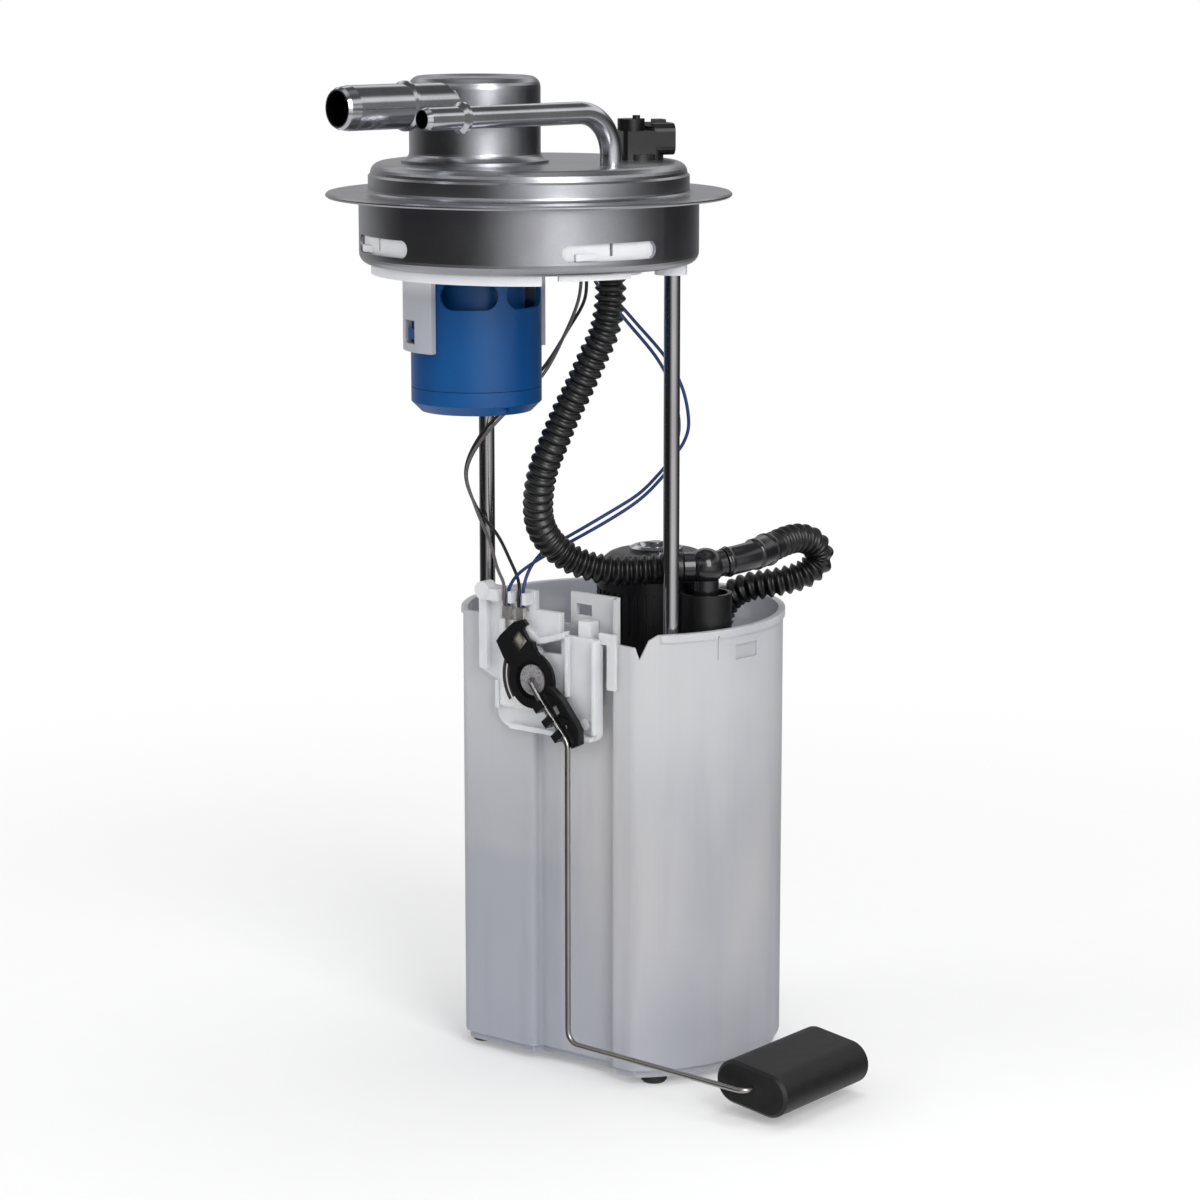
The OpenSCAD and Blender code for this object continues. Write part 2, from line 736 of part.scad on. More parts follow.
module valve_base() {
    slope = 3.5;
    color("#0b4a8c")
        translate([can_x, can_y, 0])
            difference() {
                rotate_extrude()
                    polygon([[0, -valve_low], [valve_r - slope, -valve_low],
                        [valve_r, -valve_low + slope], [valve_r, cap_z - 0.2],
                        [valve_r - 1.8, cap_z - 0.2], [valve_r - 1.8, cap_z + 1.5],
                        [valve_r - 3.2, cap_z + 1.5], [valve_r - 3.2, -valve_low + 4],
                        [9, -valve_low + 4], [9, cap_z + 2], [8, cap_z + 2],
                        [8, -valve_low + 4], [0, -valve_low + 4]]);
                for (i = [0:5])
                    rotate(i * 60)
                        translate([12.5, 0, -valve_low - 1])
                            cylinder(h = 6, r = 1.8, $fn = 24);
                rotate(-24)
                    translate([valve_r - 3, -2, -valve_low - 1])
                        cube([6, 4, 4]);
            }
}

module valve_seal() {
    color("#1a1a1a")
        translate([can_x, can_y, dome_h - sheet_t - seal_t])
            ring(neck_r, vent_r, seal_t);
}

module valve_float() {
    color("#d8d8d0")
        translate([can_x, can_y, puck_low])
            difference() {
                union() {
                    cylinder(h = puck_h, r = puck_r);
                    translate([0, 0, puck_h])
                        cylinder(h = 3, r1 = 6.5, r2 = 3);
                }
                translate([0, 0, -1])
                    cylinder(h = 7, r = 7.6);
            }
}

module valve_spring() {
    color("silver")
        translate([can_x, can_y, 0])
            coil(6, 0.4, -valve_low + 4, puck_low + 6, 5);
}

// Struts
module strut_rod(side) {
    color("silver")
        translate([side * rod_x, rod_y, -rod_low]) {
            cylinder(h = 1, r1 = rod_r - 0.8, r2 = rod_r);
            translate([0, 0, 1])
                cylinder(h = rod_low + rod_top - 1, r = rod_r);
        }
}

module strut_rod_left() {
    strut_rod(-1);
}

module strut_rod_right() {
    strut_rod(1);
}

module strut_clips() {
    color("dimgray")
        for (s = [-1, 1])
            translate([s * rod_x, rod_y, clip_top - clip_t])
                ring(chamber_r - 0.4, rod_r, clip_t);
}

module strut_spring(side) {
    wire = 0.6;
    color("silver")
        translate([side * rod_x, rod_y, 0])
            coil(chamber_r - 0.4 - wire, wire, chamber_low + 0.2, spring_top, spring_turns);
}

module strut_spring_left() {
    strut_spring(-1);
}

module strut_spring_right() {
    strut_spring(1);
}

// Hoses and leads
module feed_hose() {
    color("#101010")
        corrugated(feed_route);
}

module loop_hose() {
    color("#101010")
        corrugated(loop_route);
}

module hose_cuff() {
    steps = 8;
    radii = [for (i = [0:steps]) hose_d / 2 + (i > 4 ? 0.7 : 0.1)];
    color("#141414")
        swept(stations(cuff_route, steps), radii, 20);
}

module blue_wire_front() {
    color("#1c3d86")
        lead(blue_front_route);
}

module blue_wire_rear() {
    color("#1c3d86")
        lead(blue_rear_route);
}

module black_wire() {
    color("#161616")
        lead(black_route);
}

module grey_wire() {
    color("#6a6460")
        lead(grey_route);
}

// Front part of the reservoir's outline, moved inwards by off. The rest of the
// outline is a true cylinder, and begins at the height of res_join.
function res_front(off) = let (r = res_r - off, d = res_flat - off, c = corner_r - off,
    m = mouth_r - off, q = root_r + off, y = recess - res_flat + off,
    xc = sqrt(pow(r - c, 2) - pow(d - c, 2)), lean = atan2(d - c, xc),
    start = asin(res_join / r) + 1, top = asin((res_join - 3) / r), in = r - 0.05,
    x0 = recess_x[0] - off, x1 = recess_x[1] + off)
    concat([[-in * cos(top), -in * sin(top)]],
        arc([0, 0], r, 180 + start, 180 + lean - 1, 3),
        arc([-xc, c - d], c, 180 + lean, 270),
        arc([x0 - m, m - d], m, -90, 0, 4),
        arc([x0 + q, y - q], q, 180, 90, 4),
        arc([x1 - q, y - q], q, 90, 0, 4),
        arc([x1 + m, m - d], m, 180, 270, 4),
        arc([xc, c - d], c, 270, 360 - lean),
        arc([0, 0], r, 361 - lean, 360 - start, 3),
        [[in * cos(top), -in * sin(top)]]);

module res_block(low, high, off) {
    r = res_r - off;
    translate([0, res_y, low]) {
        intersection() {
            cylinder(h = high - low, r = r);
            translate([-r - 1, -res_join, -1])
                cube([2 * r + 2, r + res_join + 1, high - low + 2]);
        }
        linear_extrude(high - low)
            polygon(res_front(off));
    }
}

module res_shell(low, high) {
    difference() {
        res_block(low, high, 0);
        res_block(low - 1, high + 1, res_wall);
    }
}

// Guide for one rod: a close collar above a wider chamber for the spring
module rod_guide(side) {
    translate([side * rod_x, rod_y, 0])
        difference() {
            union() {
                translate([0, 0, chamber_low - 2])
                    cylinder(h = -res_rim - 6 - chamber_low + 2, r = guide_r);
                // Web from the guide into the middle of the can's wall
                rotate(atan2(rod_y - res_y, side * rod_x))
                    translate([0, -1, chamber_low - 2])
                        cube([res_r - res_wall / 2 - norm([rod_x, rod_y - res_y]), 2,
                            -res_rim - 6 - chamber_low + 2]);
            }
            translate([0, 0, chamber_low])
                cylinder(h = collar_low - chamber_low, r = chamber_r);
            translate([0, 0, collar_low - 1])
                cylinder(h = 30, r = rod_r + rod_clear);
        }
}

module reservoir() {
    band = 0.8;
    color("#dfe3e8", 0.75)
        difference() {
            union() {
                // Can with a smaller base under it
                difference() {
                    res_block(res_low + base_h, -res_rim, 0);
                    res_block(floor_z, -res_rim + 1, res_wall);
                }
                res_block(res_low, res_low + base_h + e, 1.6);
                // Rolled band round the rim
                intersection() {
                    translate([0, res_y, -res_rim - 2.8])
                        ring(res_r + band, res_r - 1, 2.8);
                    translate([-80, flat_y + 7, -res_rim - 3])
                        cube([160, 120, 4]);
                }
                // Tall part of the flat side, behind the sender
                intersection() {
                    res_shell(-res_rim - e, upstand_top);
                    translate([upstand_x[0], flat_y - 1, -res_rim - 1])
                        cube([upstand_x[1] - upstand_x[0], 12, upstand + 2]);
                }
                rod_guide(-1);
                rod_guide(1);
            }
            // V notch at the right end of the flat side
            translate([41, flat_y + 3, -res_rim])
                rotate(-45)
                    rotate([90, 0, 90])
                        translate([0, 0, -8])
                            linear_extrude(16)
                                polygon([[-7.5, -4.2], [-1.5, -4.6], [0, -9],
                                    [3.5, -2], [7, 0], [7, 20], [-7.5, 20]]);
            // Snap windows of the pump's retainer
            for (a = [-3, 77, 157])
                translate([0, res_y, -res_rim - 12.2])
                    rotate(a)
                        translate([res_r - 1.2, -6.3, 0])
                            cube([3, 12.6, 5.8]);
            // Window in the tall part, above the bracket's tab
            translate([10.6, flat_y - 3, upstand_top - 8.6])
                cube([7.4, 14, 4.4]);
            // Score line on the rim
            translate([0, res_y, -res_rim - 11])
                rotate(-17)
                    translate([res_r - 0.4, -0.4, 0])
                        cube([2, 0.8, 9]);
        }
}

module rubber_feet() {
    color("#111111")
        for (p = [[-42, 21.5], [42, 21.5], [0, 102]])
            translate([p[0], p[1], res_low - foot_h]) {
                cylinder(h = 1, r1 = foot_d / 2 - 0.8, r2 = foot_d / 2);
                translate([0, 0, 1])
                    cylinder(h = foot_h - 1, r = foot_d / 2);
            }
}

// Pump and its housing
module pump_housing() {
    rib_count = 40;
    rib_h = 16;
    gap_h = 14;
    color("#141414")
        difference() {
            union() {
                translate([pump_x, pump_y, floor_z])
                    cylinder(h = lid_z - floor_z, r = pump_r);
                for (i = [0:rib_count - 1])
                    translate([pump_x, pump_y, lid_z - rib_h])
                        rotate(i * 360 / rib_count)
                            translate([pump_r - 0.5, -0.5, 0])
                                cube([1.1, 1, rib_h - 1]);
                // Outlet cup with its web to the housing
                translate([tee[0], tee[1], cup_top - 26])
                    cylinder(h = 26, r = cup_r);
                intersection() {
                    translate([pump_x, pump_y, cup_top - 26])
                        rotate(atan2(tee[1] - pump_y, tee[0] - pump_x))
                            translate([0, -5, 0])
                                cube([pump_r + 4, 10, 24]);
                    translate([pump_x, pump_y, cup_top - 26])
                        ring(pump_r + 4, bore_r, 24);
                }
            }
            translate([pump_x, pump_y, floor_z - 1])
                cylinder(h = 200, r = bore_r);
            translate([tee[0], tee[1], cup_top - 24])
                cylinder(h = 30, r = cup_r - 1.6);
            // Inlet gaps at the floor
            for (a = [30, 150, 270])
                translate([pump_x, pump_y, floor_z - 1])
                    rotate(a)
                        translate([bore_r - 3, -8, 0])
                            cube([8, 16, gap_h + 1]);
        }
}

module housing_lid() {
    color("#141414")
        translate([pump_x, pump_y, 0])
            difference() {
                rotate_extrude()
                    polygon(concat([[0, lid_z - 4], [bore_r - 0.1, lid_z - 4],
                        [bore_r - 0.1, lid_z], [pump_r + 0.8, lid_z],
                        [pump_r + 0.8, lid_z + 4]],
                        arc([14, lid_z + 5], 8, 0, 90),
                        [[0, lid_top]]));
                translate([0, 0, lid_top - 6])
                    cylinder(h = 10, r = regulator_r);
            }
}

module pressure_regulator() {
    color("silver")
        translate([pump_x, pump_y, lid_top - 6])
            rotate_extrude()
                polygon([[0, 0], [regulator_r, 0], [regulator_r, 6],
                    [regulator_r + 1.2, 6], [regulator_r + 1.2, 7.4],
                    [regulator_r - 0.6, 8.2], [regulator_r - 2, 8.2],
                    [regulator_r - 3, 6.8], [2.5, 6.8], [2.5, 9.4], [0, 9.4]]);
}

module outlet_tee() {
    leg_r = 5;
    color("#101010")
        translate(tee) {
            sphere(r = 7);
            // Leg and flange down into the cup
            translate([0, 0, cup_top - tee[2] - 20])
                cylinder(h = -(cup_top - tee[2] - 20), r = leg_r);
            translate([0, 0, cup_top - tee[2] - 20])
                cylinder(h = 12, r = cup_r - 1.7);
            // Branch to the feed hose
            rotate([0, 90, 225])
                cylinder(h = 8.4, r = 5.4);
            // Branch to the loop hose
            rotate([0, 82, atan2(54.8 - tee[1], 50.5 - tee[0])])
                cylinder(h = 7.5, r = 5);
        }
}

module jet_pump() {
    nozzle = [jet[0] - 3, jet[1] + 12];
    color("#1a1a1a") {
        translate([jet[0], jet[1], floor_z + 4])
            ring(4.4, 2.6, jet_top - floor_z - 4);
        translate([jet[0], jet[1], floor_z])
            cylinder(h = 4 + e, r = 6.5);
        // Mixing tube that lies along the floor
        translate([jet[0], jet[1], floor_z + 8])
            rotate([0, 90, 100])
                cylinder(h = 22, r = 4);
    }
}

module pump_shell() {
    wall = 1.2;
    color("silver")
        translate([pump_x, pump_y, 0]) {
            difference() {
                translate([0, 0, shell_low])
                    cylinder(h = shell_top - shell_low, r = shell_r);
                translate([0, 0, shell_low + 5])
                    cylinder(h = shell_top - shell_low - 10, r = shell_r - wall);
                translate([0, 0, shell_low - 1])
                    cylinder(h = shell_top - shell_low + 2, r = 2.5 + rod_clear);
            }
        }
}

module pump_rotor() {
    color("peru")
        translate([pump_x, pump_y, 0]) {
            translate([0, 0, shell_low + 1])
                cylinder(h = shell_top - shell_low - 2, r = 2.5);
            translate([0, 0, shell_low + 6])
                cylinder(h = 4, r = shell_r - 2);
            translate([0, 0, shell_low + 24])
                cylinder(h = 55, r = 12.5);
            translate([0, 0, shell_low + 84])
                cylinder(h = 10, r = 8);
        }
}

module inlet_strainer() {
    color("#e4e4e0")
        translate([pump_x, pump_y, 0]) {
            translate([0, 0, floor_z])
                cylinder(h = 9, r = bore_r - 1);
            translate([0, 0, floor_z + 9 - e])
                cylinder(h = shell_low - floor_z - 9 + e, r = 6);
        }
}

// Level sender. Front view: x to the right, y up, thickness towards -Y
module sender_frame() {
    translate([hub_x, 0, hub_z])
        rotate([90, 0, 0])
            children();
}

module slab(points, back, front) {
    translate([0, 0, -back])
        linear_extrude(back - front)
            polygon(points);
}

module bar(x, z, back, front) {
    translate([x[0], front, z[0]])
        cube([x[1] - x[0], back - front, z[1] - z[0]]);
}

module sender_bracket() {
    low = hub_z - 20.6;
    front = 4.9;
    near = plate_y + 1;
    color("#f0f0ee")
        difference() {
            union() {
                rotate([90, 0, 0])
                    slab(concat(arc([-16.3, low + 6], 6, 180, 270, 4),
                        arc([23.5, low + 3], 3, 270, 360, 4),
                        [[26.5, -163], [8, -163], [8, -155], [-4, -155], [-4, -148],
                         [-30, -148], [-30, -181], [-22.3, -184]]), flat_y, plate_y);
                // Side walls and lower rim
                bar([25.1, 26.5], [low + 3, -163], near, front);
                bar([-15, 24], [low, low + 1.8], near, front + 0.4);
                bar([-22.3, -20.9], [low + 7, -184], near, front + 0.8);
                bar([11.6, 13], [-186, -163], near, front + 0.8);
                // Top bar with the lead notches, its knob and the long left leg
                bar([-28, -5], [-153, -148.6], near, 3.2);
                bar([-29.4, -26], [-180, -150], near, front);
                translate([-26.6, near, -149.6])
                    rotate([90, 0, 0])
                        cylinder(h = near - 3, r = 3.4);
                // Hook that lies over the reservoir's rim
                bar([-28, -9.4], [-res_rim, -res_rim + 2.5],
                    flat_y + res_wall + 3.4, near);
                bar([-28, -9.4], [-res_rim - 5, -res_rim + 2],
                    flat_y + res_wall + 3.4, flat_y + res_wall + 0.3);
                // Curved rib over the opening
                rotate([90, 0, 0])
                    slab([[-8, -161.5], [-5.5, -162.6], [-1.4, -165.2], [3, -164.2],
                        [11.8, -161.2], [11.8, -163.4], [3, -166.4], [-1.4, -167.4],
                        [-6, -164.8], [-8, -163.6]], near, rotor_back + 1);
                // Ear on the right, over the reservoir's lobe
                bar([25.6, 33.4], [-164.6, -160.4], flat_y, near);
                bar([29.4, 33.4], [-181.5, -161], flat_y, near);
                // Boss for the arm's pivot end
                sender_frame()
                    translate([0, 0, -near])
                        cylinder(h = near - rotor_core - 0.2, r = 2.9);
                // Snap tab that enters the recess of the tall part
                bar([16, 21.6], [-166, -157], flat_y + recess - 0.1, near);
                translate([20.5, near, -195.5])
                    rotate([90, 0, 0])
                        cylinder(h = 2.4, r = 2.2);
            }
            sender_frame()
                translate([0, 0, -flat_y - 1])
                    cylinder(h = 40, r = arm_r + pivot_clear);
            // Notches that hold the leads
            for (x = lead_x)
                bar([x - 2.6, x + 2.6], [-156, -147], 8.2, 0);
            // Opening beside the hub
            rotate([90, 0, 0])
                slab([[-3.9, -168.8], [8.7, -165], [8.7, -170.6], [-1.5, -171.2]],
                    flat_y + 1, 0);
        }
}

module sensor_card() {
    color("#e9e6dc")
        difference() {
            sender_frame()
                slab([[-18.5, -12.5], [4, -12.5], [4, 8.5], [-6.3, 8.5],
                    [-6.3, 21], [-18.5, 21]], plate_y, plate_y - card_t);
            sender_frame()
                translate([0, 0, -plate_y - 1])
                    cylinder(h = 5, r = 3.1);
        }
}

module resistor_tracks() {
    color("#3b3b3d")
        sender_frame()
            for (r = [14, 16.2])
                translate([0, 0, -plate_y + card_t])
                    intersection() {
                        ring(r + 0.7, r - 0.7, track_t);
                        wedge(107, 216, r + 3, track_t);
                    }
}

module card_terminals() {
    color("silver")
        for (x = lead_x) {
            bar([x - 1.7, x + 1.7], [-159.5, -154.7], plate_y, 5);
            bar([x - 0.6, x + 0.6], [-163.5, -159.5], plate_y - card_t, 5.6);
        }
}

module sender_rotor() {
    fin = [[8, 2], [10.8, -1.4], [15.6, -4.9], [21.8, -12.5], [24, -15.6],
        [24.2, -21.3], [20.6, -23.2], [16.2, -22.5], [12.3, -17.9],
        [8, -13.2], [3.7, -8.5], [2, -4]];
    wall = [[9.4, 0.2], [10.8, -1.4], [15.6, -4.9], [21.8, -12.5], [24, -15.6],
        [24.2, -21.3], [20.8, -23.1], [20.4, -21.8], [22.6, -20.4],
        [22.5, -16.1], [20.5, -13.3], [14.7, -6.2], [8.6, -1.6]];
    color("#121212")
        sender_frame()
            difference() {
                union() {
                    translate([0, 0, -rotor_back])
                        cylinder(h = rotor_back - hub_front, r = hub_r);
                    translate([0, 0, -rotor_core])
                        cylinder(h = rotor_core - hub_front, r = 8.6);
                    // Block that holds the contact
                    slab([[-17, 12.9], [-15.1, 15.4], [-8.2, 21.4], [-3.8, 22.7],
                        [-1.8, 20.9], [-4, 19], [-1.4, 15.3], [1.5, 14.5],
                        [1.2, 13.5], [3.5, 9.9], [0, 5], [-10.2, 3.5],
                        [-13.4, 6.8]], rotor_back, hub_front);
                    // Clip plate with its outer wall and ribs
                    slab(fin, rotor_back, clip_floor);
                    slab(wall, rotor_back, 1.2);
                    slab([[7.4, -4.2], [13, -5.2], [13.6, -6.6], [7.8, -5.6]],
                        rotor_back, 2);
                    slab([[13.4, -12.2], [19, -12.4], [19.4, -13.8], [14.2, -13.6]],
                        rotor_back, 2);
                    // Hooks that hold the wire
                    for (s = [[6.7, -8.2, -50], [11.2, -13.2, -48], [15.6, -18.1, -46]])
                        translate([s[0], s[1], 0])
                            rotate(s[2]) {
                                translate([-1.6, -3.4, -rotor_back])
                                    cube([3.2, 2.2, rotor_back + 0.5]);
                                translate([-1.6, -3.4, -0.4])
                                    cube([3.2, 4.6, 0.9]);
                            }
                }
                // Dished face round the washer, and the bore for the pivot end
                translate([0, 0, -rotor_back])
                    cylinder(h = 10, r = 7.4);
                translate([0, 0, -rotor_core - 1])
                    cylinder(h = 30, r = arm_r);
                // Window of the contact
                slab([[-6, 18.1], [-2.1, 14.7], [-5.8, 10.2], [-9.8, 14.1]], 7, -2);
                // Openings in the clip plate
                slab([[9.4, -9.6], [12, -7.8], [14, -10.6], [11.4, -12.4]], 7, -2);
                slab([[15.2, -15.2], [17.4, -14.8], [17.6, -16.2], [15.8, -16.6]], 7, -2);
            }
}

module pivot_washer() {
    color("#8a8a8a")
        sender_frame()
            translate([0, 0, -rotor_back])
                ring(5.8, arm_r, 0.8);
}

module wiper_contact() {
    color("#c9b27a")
        sender_frame() {
            // Plate behind the window, its bent tab and the two fingers
            slab([[-6.4, 19.2], [-1, 14.6], [-5.6, 9.2], [-10.8, 14.2]],
                rotor_back + 0.6, rotor_back);
            slab([[-6, 16.6], [-4, 14.6], [-5.4, 12.8], [-7.6, 14.6]],
                rotor_back + e, hub_front + 0.3);
            for (r = [14, 16.2])
                rotate(block_heading)
                    slab([[r - 0.4, -2.6], [r + 0.4, -2.6], [r + 0.4, 1.4],
                        [r - 0.4, 1.4]], plate_y - card_t - track_t - 0.05, rotor_back + 0.5);
        }
}

module float_arm() {
    color("silver")
        bent_rod(arm_path, arm_r, [0, 1.6, 4, 6, 5, 4, 0]);
}

// Float: a flat pill with eased ends, bored for the arm
module float() {
    end_r = float_h / 2;
    ease = 1.2;
    half = float_w / 2 - end_r;
    color("#161616")
        translate([float_axis[0], float_face, float_axis[1]])
            rotate([-90, float_tilt, 0])
                difference() {
                    hull()
                        for (s = [-1, 1])
                            translate([s * half, 0, 0])
                                rotate_extrude($fn = 40)
                                    polygon([[0, 0], [end_r - ease, 0], [end_r, ease],
                                        [end_r, float_l - ease], [end_r - ease, float_l],
                                        [0, float_l]]);
                    translate([0, 0, -1])
                        cylinder(h = 14 - float_face + 2, r = arm_r + pivot_clear);
                }
}

mounting_flange();
skirt();
vapor_can();
vapor_tube();
feed_tube();
connector_body();
connector_pins();
inner_plate();
valve_housing();
valve_base();
valve_seal();
valve_float();
valve_spring();
strut_rod_left();
strut_rod_right();
strut_clips();
strut_spring_left();
strut_spring_right();
feed_hose();
blue_wire_front();
blue_wire_rear();
black_wire();
grey_wire();
reservoir();
pump_housing();
housing_lid();
pressure_regulator();
outlet_tee();
hose_cuff();
loop_hose();
jet_pump();
pump_shell();
pump_rotor();
inlet_strainer();
rubber_feet();
sender_bracket();
sensor_card();
resistor_tracks();
card_terminals();
sender_rotor();
pivot_washer();
wiper_contact();
float_arm();
float();
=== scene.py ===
import math
import bpy
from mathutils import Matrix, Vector


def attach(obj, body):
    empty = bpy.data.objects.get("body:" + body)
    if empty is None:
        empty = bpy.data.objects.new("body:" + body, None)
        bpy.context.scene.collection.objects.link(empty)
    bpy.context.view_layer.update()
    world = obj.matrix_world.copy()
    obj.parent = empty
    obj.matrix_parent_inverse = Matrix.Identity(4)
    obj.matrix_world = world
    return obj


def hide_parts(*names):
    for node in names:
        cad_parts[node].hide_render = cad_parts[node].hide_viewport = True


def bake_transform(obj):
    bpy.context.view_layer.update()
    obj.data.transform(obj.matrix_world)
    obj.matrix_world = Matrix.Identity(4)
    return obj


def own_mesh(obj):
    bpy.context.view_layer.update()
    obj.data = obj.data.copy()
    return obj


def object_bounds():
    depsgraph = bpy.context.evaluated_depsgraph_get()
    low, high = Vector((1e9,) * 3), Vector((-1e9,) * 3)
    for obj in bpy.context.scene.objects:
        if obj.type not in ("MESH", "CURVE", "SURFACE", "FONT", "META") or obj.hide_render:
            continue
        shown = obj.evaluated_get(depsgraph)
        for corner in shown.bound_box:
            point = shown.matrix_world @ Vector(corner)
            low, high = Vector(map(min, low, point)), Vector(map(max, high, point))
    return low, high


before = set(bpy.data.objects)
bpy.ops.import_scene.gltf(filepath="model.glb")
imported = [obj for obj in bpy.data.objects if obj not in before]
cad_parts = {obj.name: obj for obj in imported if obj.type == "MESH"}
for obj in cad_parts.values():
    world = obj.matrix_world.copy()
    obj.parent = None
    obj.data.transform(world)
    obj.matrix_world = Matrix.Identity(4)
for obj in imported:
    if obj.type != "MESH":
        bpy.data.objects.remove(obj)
cad_box = [list(corner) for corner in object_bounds()]


# ---------------------------------------------------------------------------
# Studio. A camera with a long lens looks a little down at the side of the
# module that shows the level sender. The pump stands on a pale sweep.
# ---------------------------------------------------------------------------
class Wire:
    """One output of a shader node. Sums written on wires add their Math nodes."""

    def __init__(self, nodes, socket):
        self.nodes = nodes
        self.socket = socket

    def maths(self, operation, *values):
        return self.nodes.node("ShaderNodeMath", {"operation": operation}, dict(enumerate(values)))

    def __add__(self, other):
        return self.maths("ADD", self, other)

    def __radd__(self, other):
        return self.maths("ADD", other, self)

    def __sub__(self, other):
        return self.maths("SUBTRACT", self, other)

    def __rsub__(self, other):
        return self.maths("SUBTRACT", other, self)

    def __mul__(self, other):
        return self.maths("MULTIPLY", self, other)

    def __rmul__(self, other):
        return self.maths("MULTIPLY", other, self)

    def __truediv__(self, other):
        return self.maths("DIVIDE", self, other)

    def __pow__(self, other):
        return self.maths("POWER", self, other)

    def sine(self):
        return self.maths("SINE", self)

    def angle(self, reach):
        """The angle, in radians, of a direction with this height over that reach."""
        return self.maths("ARCTAN2", self, reach)

    def larger(self, other):
        return self.maths("MAXIMUM", self, other)

    def above(self, level, soft):
        """0 below the level and 1 above it, with a soft step between."""
        return self.nodes.node("ShaderNodeMapRange", {"interpolation_type": "SMOOTHSTEP"},
            {0: self, 1: level - soft, 2: level + soft})


class Nodes:
    """The node tree of one finish, or of the world."""

    def __init__(self, owner):
        owner.use_nodes = True
        self.owner = owner
        self.tree = owner.node_tree
        self.tree.nodes.clear()

    def node(self, kind, settings={}, sockets={}, out=0):
        made = self.tree.nodes.new(kind)
        for name, value in settings.items():
            if name == "stops":
                for place, colour in value[1:-1]:
                    made.color_ramp.elements.new(place)
                for stop, (place, colour) in zip(made.color_ramp.elements, value):
                    stop.position = place
                    stop.color = (*colour, 1)
            else:
                setattr(made, name, value)
        for name, value in sockets.items():
            if isinstance(value, Wire):
                self.tree.links.new(made.inputs[name], value.socket)
            elif value is not None:
                made.inputs[name].default_value = value
        return Wire(self, made.outputs[out]) if made.outputs else made


class Finish(Nodes):
    """A procedural finish. Places are metres in the module's own frame."""

    def __init__(self, name):
        self.name = name
        super().__init__(bpy.data.materials.new(name))
        self.place = self.node("ShaderNodeTexCoord", out=3)

    def axes(self):
        return [self.node("ShaderNodeSeparateXYZ", {}, {0: self.place}, i) for i in range(3)]

    def noise(self, scale, detail=3.0, stretch=(1, 1, 1), rough=0.5):
        """Noise with about scale blobs to the metre, longer where stretch is small."""
        spot = self.node("ShaderNodeVectorMath", {"operation": "MULTIPLY"},
            {0: self.place, 1: stretch})
        return self.node("ShaderNodeTexNoise", {},
            {"Vector": spot, "Scale": scale, "Detail": detail, "Roughness": rough})

    def mix(self, share, first, second):
        colours = [c if isinstance(c, Wire) else (*c, 1) for c in (first, second)]
        return self.node("ShaderNodeMix", {"data_type": "RGBA"},
            {0: share, 6: colours[0], 7: colours[1]}, 2)

    def lift(self, height, depth, strength=1.0, under=None):
        """A bump of that depth in metres, on top of another if one is given."""
        return self.node("ShaderNodeBump", {},
            {"Height": height, "Distance": depth, "Strength": strength, "Normal": under})

    def skin(self, colour, rough, normal=None, **fixed):
        sockets = {name.replace("_", " "): value for name, value in fixed.items()}
        sockets["Base Color"] = colour
        sockets["Roughness"] = rough
        sockets["Normal"] = normal
        shader = self.node("ShaderNodeBsdfPrincipled", {}, sockets)
        self.node("ShaderNodeOutputMaterial", {}, {0: shader})
        return self.owner

    def dress(self, *names):
        for name in names:
            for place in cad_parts[name].material_slots:
                place.material = self.owner


# The camera stands 1.28 m from the module's axis, 92 mm above the mounting face
heading = Vector((-0.6225, 0.7826, 0.0)).normalized()
pitch = math.radians(10.7)
camera_place = (0.81500, -0.98309, 0.09152)
lens = bpy.data.cameras.new("camera")
lens.lens = 104.82
lens.sensor_width = 36.0
camera = bpy.data.objects.new("camera", lens)
camera.location = camera_place
sight = heading * math.cos(pitch) - Vector((0, 0, math.sin(pitch)))
camera.rotation_mode = "QUATERNION"
camera.rotation_quaternion = sight.to_track_quat("-Z", "Y")
bpy.context.scene.collection.objects.link(camera)
bpy.context.scene.camera = camera
bpy.context.scene.view_settings.view_transform = "Standard"

# Pale sweep: it keeps the pump's soft shadow, and clears to white further out
floor_z = cad_box[0][2]
floor_half = 30.0
pump_middle_y = 0.03
shadow_reach, shadow_fade, near_white = 0.42, 0.30, 0.25
paper = Finish("pale_floor")
east, north = paper.axes()[:2]
back = north - pump_middle_y
far = (east * east + back * back) ** 0.5
fibre = paper.noise(60, 2)
matt = paper.node("ShaderNodeBsdfDiffuse", {},
    {"Color": paper.mix(fibre, (0.90, 0.90, 0.90), (0.92, 0.92, 0.92))})
white = paper.node("ShaderNodeEmission", {}, {"Color": (1, 1, 1, 1), "Strength": 1.0})
by_camera = paper.node("ShaderNodeLightPath", out=0)
cleared = paper.node("ShaderNodeMixShader", {},
    {0: by_camera * (near_white + (1 - near_white) * far.above(shadow_reach, shadow_fade)),
        1: matt, 2: white})
paper.node("ShaderNodeOutputMaterial", {}, {0: cleared})
sheet = bpy.data.meshes.new("sweep")
sheet.from_pydata([(x * floor_half, y * floor_half, floor_z)
    for x, y in ((-1, -1), (1, -1), (1, 1), (-1, 1))], [], [(0, 1, 2, 3)])
sheet.materials.append(paper.owner)
sweep = bpy.data.objects.new("sweep", sheet)
bpy.context.scene.collection.objects.link(sweep)
sweep.visible_glossy = False

